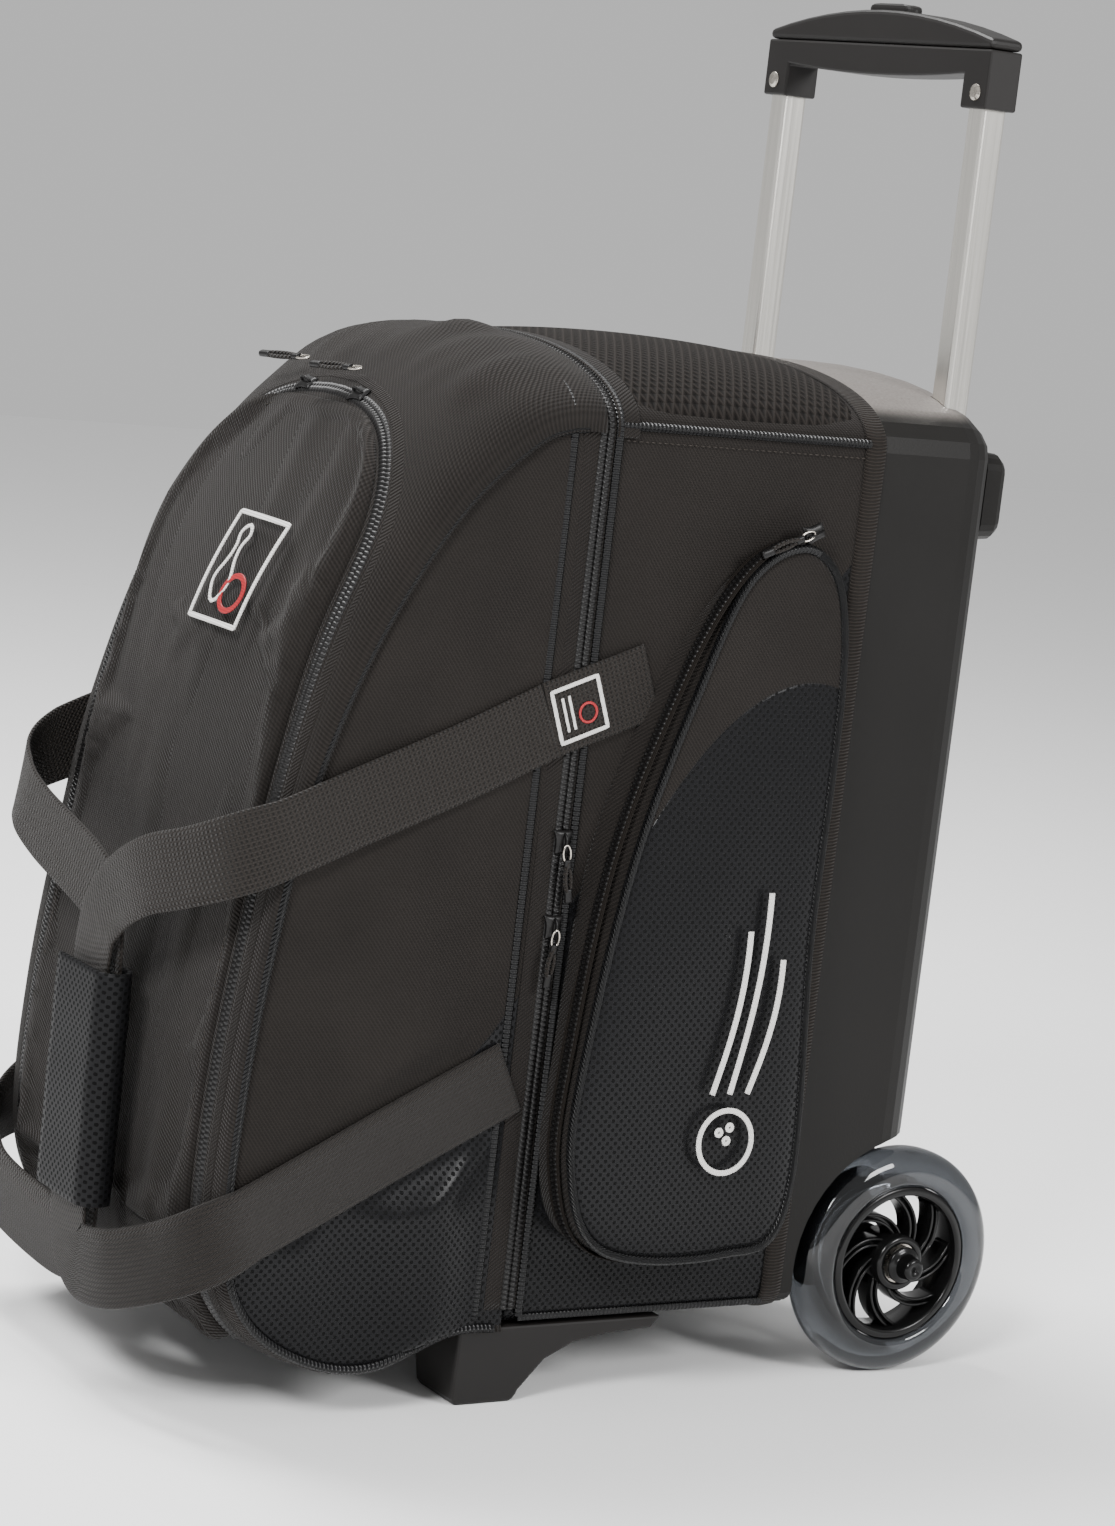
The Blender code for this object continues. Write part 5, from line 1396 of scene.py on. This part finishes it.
def wheel_set():
    w = WHEEL_HALF
    for side, word in SIDES:
        centre = WHEEL * (side, 1, 1)
        a = np.linspace(0, np.pi, 40)
        tread = np.stack([w * np.sign(np.cos(a)) * np.abs(np.cos(a)) ** 0.75,
                          HUB_R + 0.0035 + (WHEEL_R - HUB_R - 0.0035) * np.sin(a) ** 0.8], 1)
        inner = np.stack([np.linspace(-w * 0.90, w * 0.90, 12), np.full(12, HUB_R + 0.0002)], 1)
        tyre = revolve("tyre_" + word, np.vstack([tread, inner]), centre, finish("tyre"), 128)
        piece(tyre, "wheel_" + word, "tyre", "wheel_tyre_" + word)
        r = HUB_R
        rim = np.array((
            (-w + 0.002, r - 0.0052), (w - 0.002, r - 0.0052), (w - 0.0012, r - 0.0044),
            (w - 0.0008, r - 0.0030), (w - 0.0014, r - 0.0016), (w - 0.0014, r - 0.0002),
            (0.0014 - w, r - 0.0002), (0.0014 - w, r - 0.0016), (0.0008 - w, r - 0.0030),
            (0.0012 - w, r - 0.0044)))
        boss = np.array(((1 - w * 1000, 11.2), (w * 1000 - 1, 11.2), (w * 1000 - 0.6, 11.8),
                         (w * 1000 - 0.6, 14.2), (w * 1000 - 1.6, 15.4), (1.6 - w * 1000, 15.4),
                         (0.6 - w * 1000, 14.2), (0.6 - w * 1000, 11.8))) / 1000
        parts = [revolve("rim", rim, centre, finish("hub"), 112),
                 revolve("boss", boss, centre, finish("hub"), 72), hub_spokes(side, word)]
        hub = join("hub_" + word, parts)
        piece(hub, "wheel_" + word, "hub", "wheel_hub_" + word)
        face = side * (abs(centre[0]) + w)
        steps = np.array(((0.4, 4.6), (0.4, 9.6), (0.9, 10.2), (2.6, 10.3), (3.2, 9.7), (3.6, 8.6),
                          (4.2, 7.2), (5.0, 6.8), (11.0, 6.3), (12.2, 5.9), (12.9, 5.0),
                          (13.1, 3.2), (12.4, 2.4), (12.4, 0.6))) / 1000
        cap = revolve("axle_nut_" + word, steps * (side, 1), (face, centre[1], centre[2]),
                      finish("hub"), 64)
        piece(cap, "bag", "hub", "axle_cap_" + word)


# ---------------------------------------------------------------- hard parts
NODE_FINISH = {
    "back_shell": "shell", "wheel_carrier": "shell", "back_skid_near": "shell",
    "back_skid_far": "shell", "front_foot_near": "grip", "front_foot_far": "grip",
    "grip_lower": "grip", "grip_upper": "grip", "release_button": "grip",
    "inner_tube_near": "aluminium", "inner_tube_far": "aluminium",
    "guide_tube_near": "aluminium", "guide_tube_far": "aluminium", "tube_bracket": "shell",
    "handle_rivet_near": "steel", "handle_rivet_far": "steel", "wheel_axle": "steel",
    "wheel_bearing_near": "steel", "wheel_bearing_far": "steel", "axle_spacer_near": "steel",
    "axle_spacer_far": "steel", "lock_pin_near": "steel", "lock_pin_far": "steel",
    "release_yoke": "steel", "floor_board": "lining",
    "back_board": "lining", "ball_cup_lower": "foam", "ball_cup_upper": "foam",
    "lid_apron": "lining",
}


def dress_nodes():
    for node, name in NODE_FINISH.items():
        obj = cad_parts[node]
        obj.data.materials.clear()
        obj.data.materials.append(finish(name))


def button_coil():
    """Coil spring under the release button: a helix of six turns, pressed with the button."""
    a, b = low("button_spring"), high("button_spring")
    wire, turns = 0.0004, 6
    centre, radius = (a + b) / 2, (b[0] - a[0]) / 2 - wire
    t = np.linspace(0, 1, turns * 36)
    angle = 2 * np.pi * turns * t
    round_out = np.stack([np.cos(angle), np.sin(angle), np.zeros_like(t)], 1)
    rise = a[2] + wire + t * (b[2] - a[2] - 2 * wire)
    path = np.stack([centre[0] + radius * round_out[:, 0], centre[1] + radius * round_out[:, 1],
                     rise], 1)
    coil = carried("button_coil", round_profile(wire, 8), path, round_out, finish("steel"))
    piece(coil, "handle", "steel", "button_spring")
    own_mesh(coil)


# ---------------------------------------------------------------- embroidery
def badge():
    """Embroidered badge on the front pocket: a framed pin and ball in satin stitch."""
    t = np.array(((-1, -1), (1, -1), (1, 1), (-1, 1), (-1, -1)), float)
    ring = resample(t * (0.0240, 0.0300), 161)[:-1]
    parts = [sewn("badge", ring, 0.0028, "embroidery", True)]
    a = np.linspace(0, 2 * np.pi, 60, endpoint=False)
    ball = np.stack([0.0098 * np.cos(a) + 0.0080, 0.0098 * np.sin(a) - 0.0130], 1)
    parts.append(sewn("badge", ball, 0.0032, "red", True))
    parts.append(sewn("badge", pin_outline(0.044) + (-0.0075, 0.002), 0.0022,
                      "embroidery", True))
    lid_piece(join("pocket_badge", parts), "webbing")


def pin_outline(tall):
    """Pin from its radius at even heights: belly, neck and head, mirrored."""
    h = np.linspace(0, 1, 40)
    r = 0.130 * np.exp(-((h - 0.28) / 0.22) ** 2) + 0.060 * np.exp(-((h - 0.88) / 0.10) ** 2)
    r = (r + 0.050) * np.sqrt(np.clip(1 - np.abs((h - 0.5) / 0.5) ** 14, 0, 1))
    right = np.stack([r * tall, (h - 0.5) * tall], 1)
    return np.vstack([right, right[::-1][1:-1] * (-1, 1)])


def sewn(name, flat, width, colour, closed):
    """Line sewn on the front pocket: (across, up) offsets, sheared, laid on its surface."""
    s = 0.759 + flat[:, 1] / 0.77
    x = 0.026 + flat[:, 0] + flat[:, 1] * 0.18
    path = lid_points(s, x, 0.0098)
    return carried(name, flat_profile(width, 0.0009), path, lid_out(s, x), finish(colour),
                   closed=closed)


def pocket_motif():
    """Generic motif on each side pocket: a rolling ball with three speed lines."""
    for side, word in SIDES:
        parts = []
        centre = np.array((frame_y(-0.140), 0.150))
        a = np.linspace(0, 2 * np.pi, 80, endpoint=False)
        rings = [np.stack([0.0165 * np.cos(a), 0.0165 * np.sin(a)], 1)]
        for y, z in ((-0.0045, 0.0050), (0.0020, 0.0075), (0.0005, 0.0005)):
            rings.append(np.stack([0.0016 * np.cos(a[::4]) + y, 0.0016 * np.sin(a[::4]) + z], 1))
        for k, ring in enumerate(rings):
            parts.append(motif_line(side, centre + ring, 0.0030 if k == 0 else 0.0022, True))
        for shift, length in ((-0.0110, 0.085), (0.0, 0.105), (0.0110, 0.070)):
            t = np.linspace(0, 1, 50)
            bend = 0.0060 * np.sin(t * np.pi * 0.8)
            line = np.stack([centre[0] + shift + bend + t * 0.012,
                             centre[1] + 0.0250 + t * length], 1)
            parts.append(motif_line(side, line, 0.0034, False))
        piece(join("pocket_motif_" + word, parts), "bag", "fabric")


def motif_line(side, flat, width, closed):
    reach = (flat - OUTLINE_MIDDLE) / (OUTLINE.max(0) - OUTLINE.min(0)) * 2
    k = np.clip(np.linalg.norm(reach, axis=1), 0, 1)
    depth = pocket_depth(flat[:, 1]) * (0.86 + 0.14 * np.sqrt(1 - k ** 4)) + 0.0058
    path = np.stack([side * (HALF + 0.0008 + depth), flat[:, 0], flat[:, 1]], 1)
    return carried("motif", flat_profile(width, 0.0012), path, (side, 0, 0),
                   finish("embroidery"), closed=closed)


# ---------------------------------------------------------------- stage
LAMPS = (                                      # name, place, size in metres, power in watts
    ("key", (1.5, -2.1, 2.1), 0.7, 90.0),
    ("side", (2.3, 1.0, 1.5), 0.8, 60.0),
    ("top", (-0.9, -0.4, 2.6), 1.0, 110.0),
)
FLOOR_HALF = 6.0


def stage():
    centre_y = frame_y(-0.1633)
    x = np.linspace(-FLOOR_HALF, FLOOR_HALF, 3)
    grid = np.stack(np.meshgrid(x, x, indexing="ij"), 2)
    points = np.concatenate([grid, np.zeros((3, 3, 1))], 2)
    floor = surface("studio_floor", points, finish("floor"), flip=True)
    world = bpy.data.worlds.new("studio")
    world.use_nodes = True
    back = world.node_tree.nodes["Background"]
    back.inputs["Color"].default_value = (1, 1, 1, 1)
    back.inputs["Strength"].default_value = 0.6
    bpy.context.scene.world = world
    for name, place, size_m, power in LAMPS:
        lamp = bpy.data.lights.new(name, "AREA")
        lamp.size = size_m
        lamp.energy = power
        obj = bpy.data.objects.new(name, lamp)
        obj.location = place
        aim = Vector((0, centre_y, 0.3)) - Vector(place)
        obj.rotation_euler = aim.to_track_quat("-Z", "Y").to_euler()
        bpy.context.collection.objects.link(obj)
    camera(centre_y)


VIEW_DEGREES = (57.324, 8.513, 6.586)          # azimuth, elevation and roll
VIEW_HEIGHT, VIEW_DISTANCE = 0.31785, 2.06695
FOCAL_PIXELS, PHOTO_HEIGHT = 3806.25, 1526


def camera(centre_y):
    """Camera from its azimuth, elevation and roll about a point inside the bag."""
    azimuth, elevation, roll = (math.radians(a) for a in VIEW_DEGREES)
    back = Vector((math.sin(azimuth) * math.cos(elevation),
                   -math.cos(azimuth) * math.cos(elevation), math.sin(elevation)))
    right = Vector((0, 0, 1)).cross(back).normalized()
    up = back.cross(right)
    c, s = math.cos(roll), math.sin(roll)
    turned = Matrix((right * c + up * s, up * c - right * s, back)).transposed()
    data = bpy.data.cameras.new("view")
    data.sensor_fit = "AUTO"
    data.sensor_width = 36.0
    data.lens = data.sensor_width * FOCAL_PIXELS / PHOTO_HEIGHT
    obj = bpy.data.objects.new("view", data)
    place = Vector((0, centre_y, VIEW_HEIGHT)) + back * VIEW_DISTANCE
    obj.matrix_world = Matrix.Translation(place) @ turned.to_4x4()
    bpy.context.collection.objects.link(obj)
    bpy.context.scene.camera = obj


# ---------------------------------------------------------------- operators
def operator(name, label, doc, *jobs):
    """Operator class that runs the given functions once."""
    def execute(self, context):
        for job in jobs:
            job()
        return {"FINISHED"}
    return type("ROLLERBAG_OT_" + name, (bpy.types.Operator,), {
        "bl_idname": "rollerbag." + name, "bl_label": label, "__doc__": doc,
        "execute": execute})


def both_sides(job):
    def run():
        for side, word in SIDES:
            job(side, word)
    return run


OPERATORS = [
    operator("stage", "Stage", "Floor, lights and camera", stage),
    operator("hard_parts", "Hard parts", "Finishes of the packed nodes", dress_nodes,
             button_coil),
    operator("wheels", "Wheels", "Tyres, hubs and axle nuts", wheel_set),
    operator("ball_case", "Ball case", "Padded case, piping and binding", ball_case, case_trim),
    operator("top_pocket", "Top pocket", "Knitted pocket on the top", top_pocket),
    operator("lid", "Lid", "Lid panels and their piping", lid_front, both_sides(lid_side),
             seam_pipes),
    operator("front_pocket", "Front pocket", "Pocket panel, zipper and badge", front_pocket,
             front_pocket_trim, badge),
    operator("side_pockets", "Side pockets", "Pockets, zippers and motif",
             both_sides(side_pocket), pocket_motif),
    operator("zippers", "Zippers", "Main zipper, sliders and pulls", main_zipper,
             sliders_and_pulls),
    operator("straps", "Straps", "Carrying straps, labels and hand pad", straps, hand_pad),
]


class ROLLERBAG_PT_panel(bpy.types.Panel):
    bl_label = "Roller bag"
    bl_idname = "ROLLERBAG_PT_panel"
    bl_space_type = "VIEW_3D"
    bl_region_type = "UI"
    bl_category = "Roller bag"

    def draw(self, context):
        for group in (sizes(), colours()):
            for key in group.__annotations__:
                self.layout.prop(group, key)
        for cls in OPERATORS:
            self.layout.operator(cls.bl_idname)


CLASSES = [RollerBagSizes, RollerBagColours, *OPERATORS, ROLLERBAG_PT_panel]


def register():
    for cls in CLASSES:
        bpy.utils.register_class(cls)
    bpy.types.Scene.roller_bag_sizes = bpy.props.PointerProperty(type=RollerBagSizes)
    bpy.types.Scene.roller_bag_colours = bpy.props.PointerProperty(type=RollerBagColours)


def unregister():
    del bpy.types.Scene.roller_bag_colours
    del bpy.types.Scene.roller_bag_sizes
    for cls in reversed(CLASSES):
        bpy.utils.unregister_class(cls)


def main():
    register()
    for cls in OPERATORS:
        getattr(bpy.ops.rollerbag, cls.bl_idname.split(".")[1])()
    bpy.context.view_layer.update()


if __name__ == "__main__":
    main()
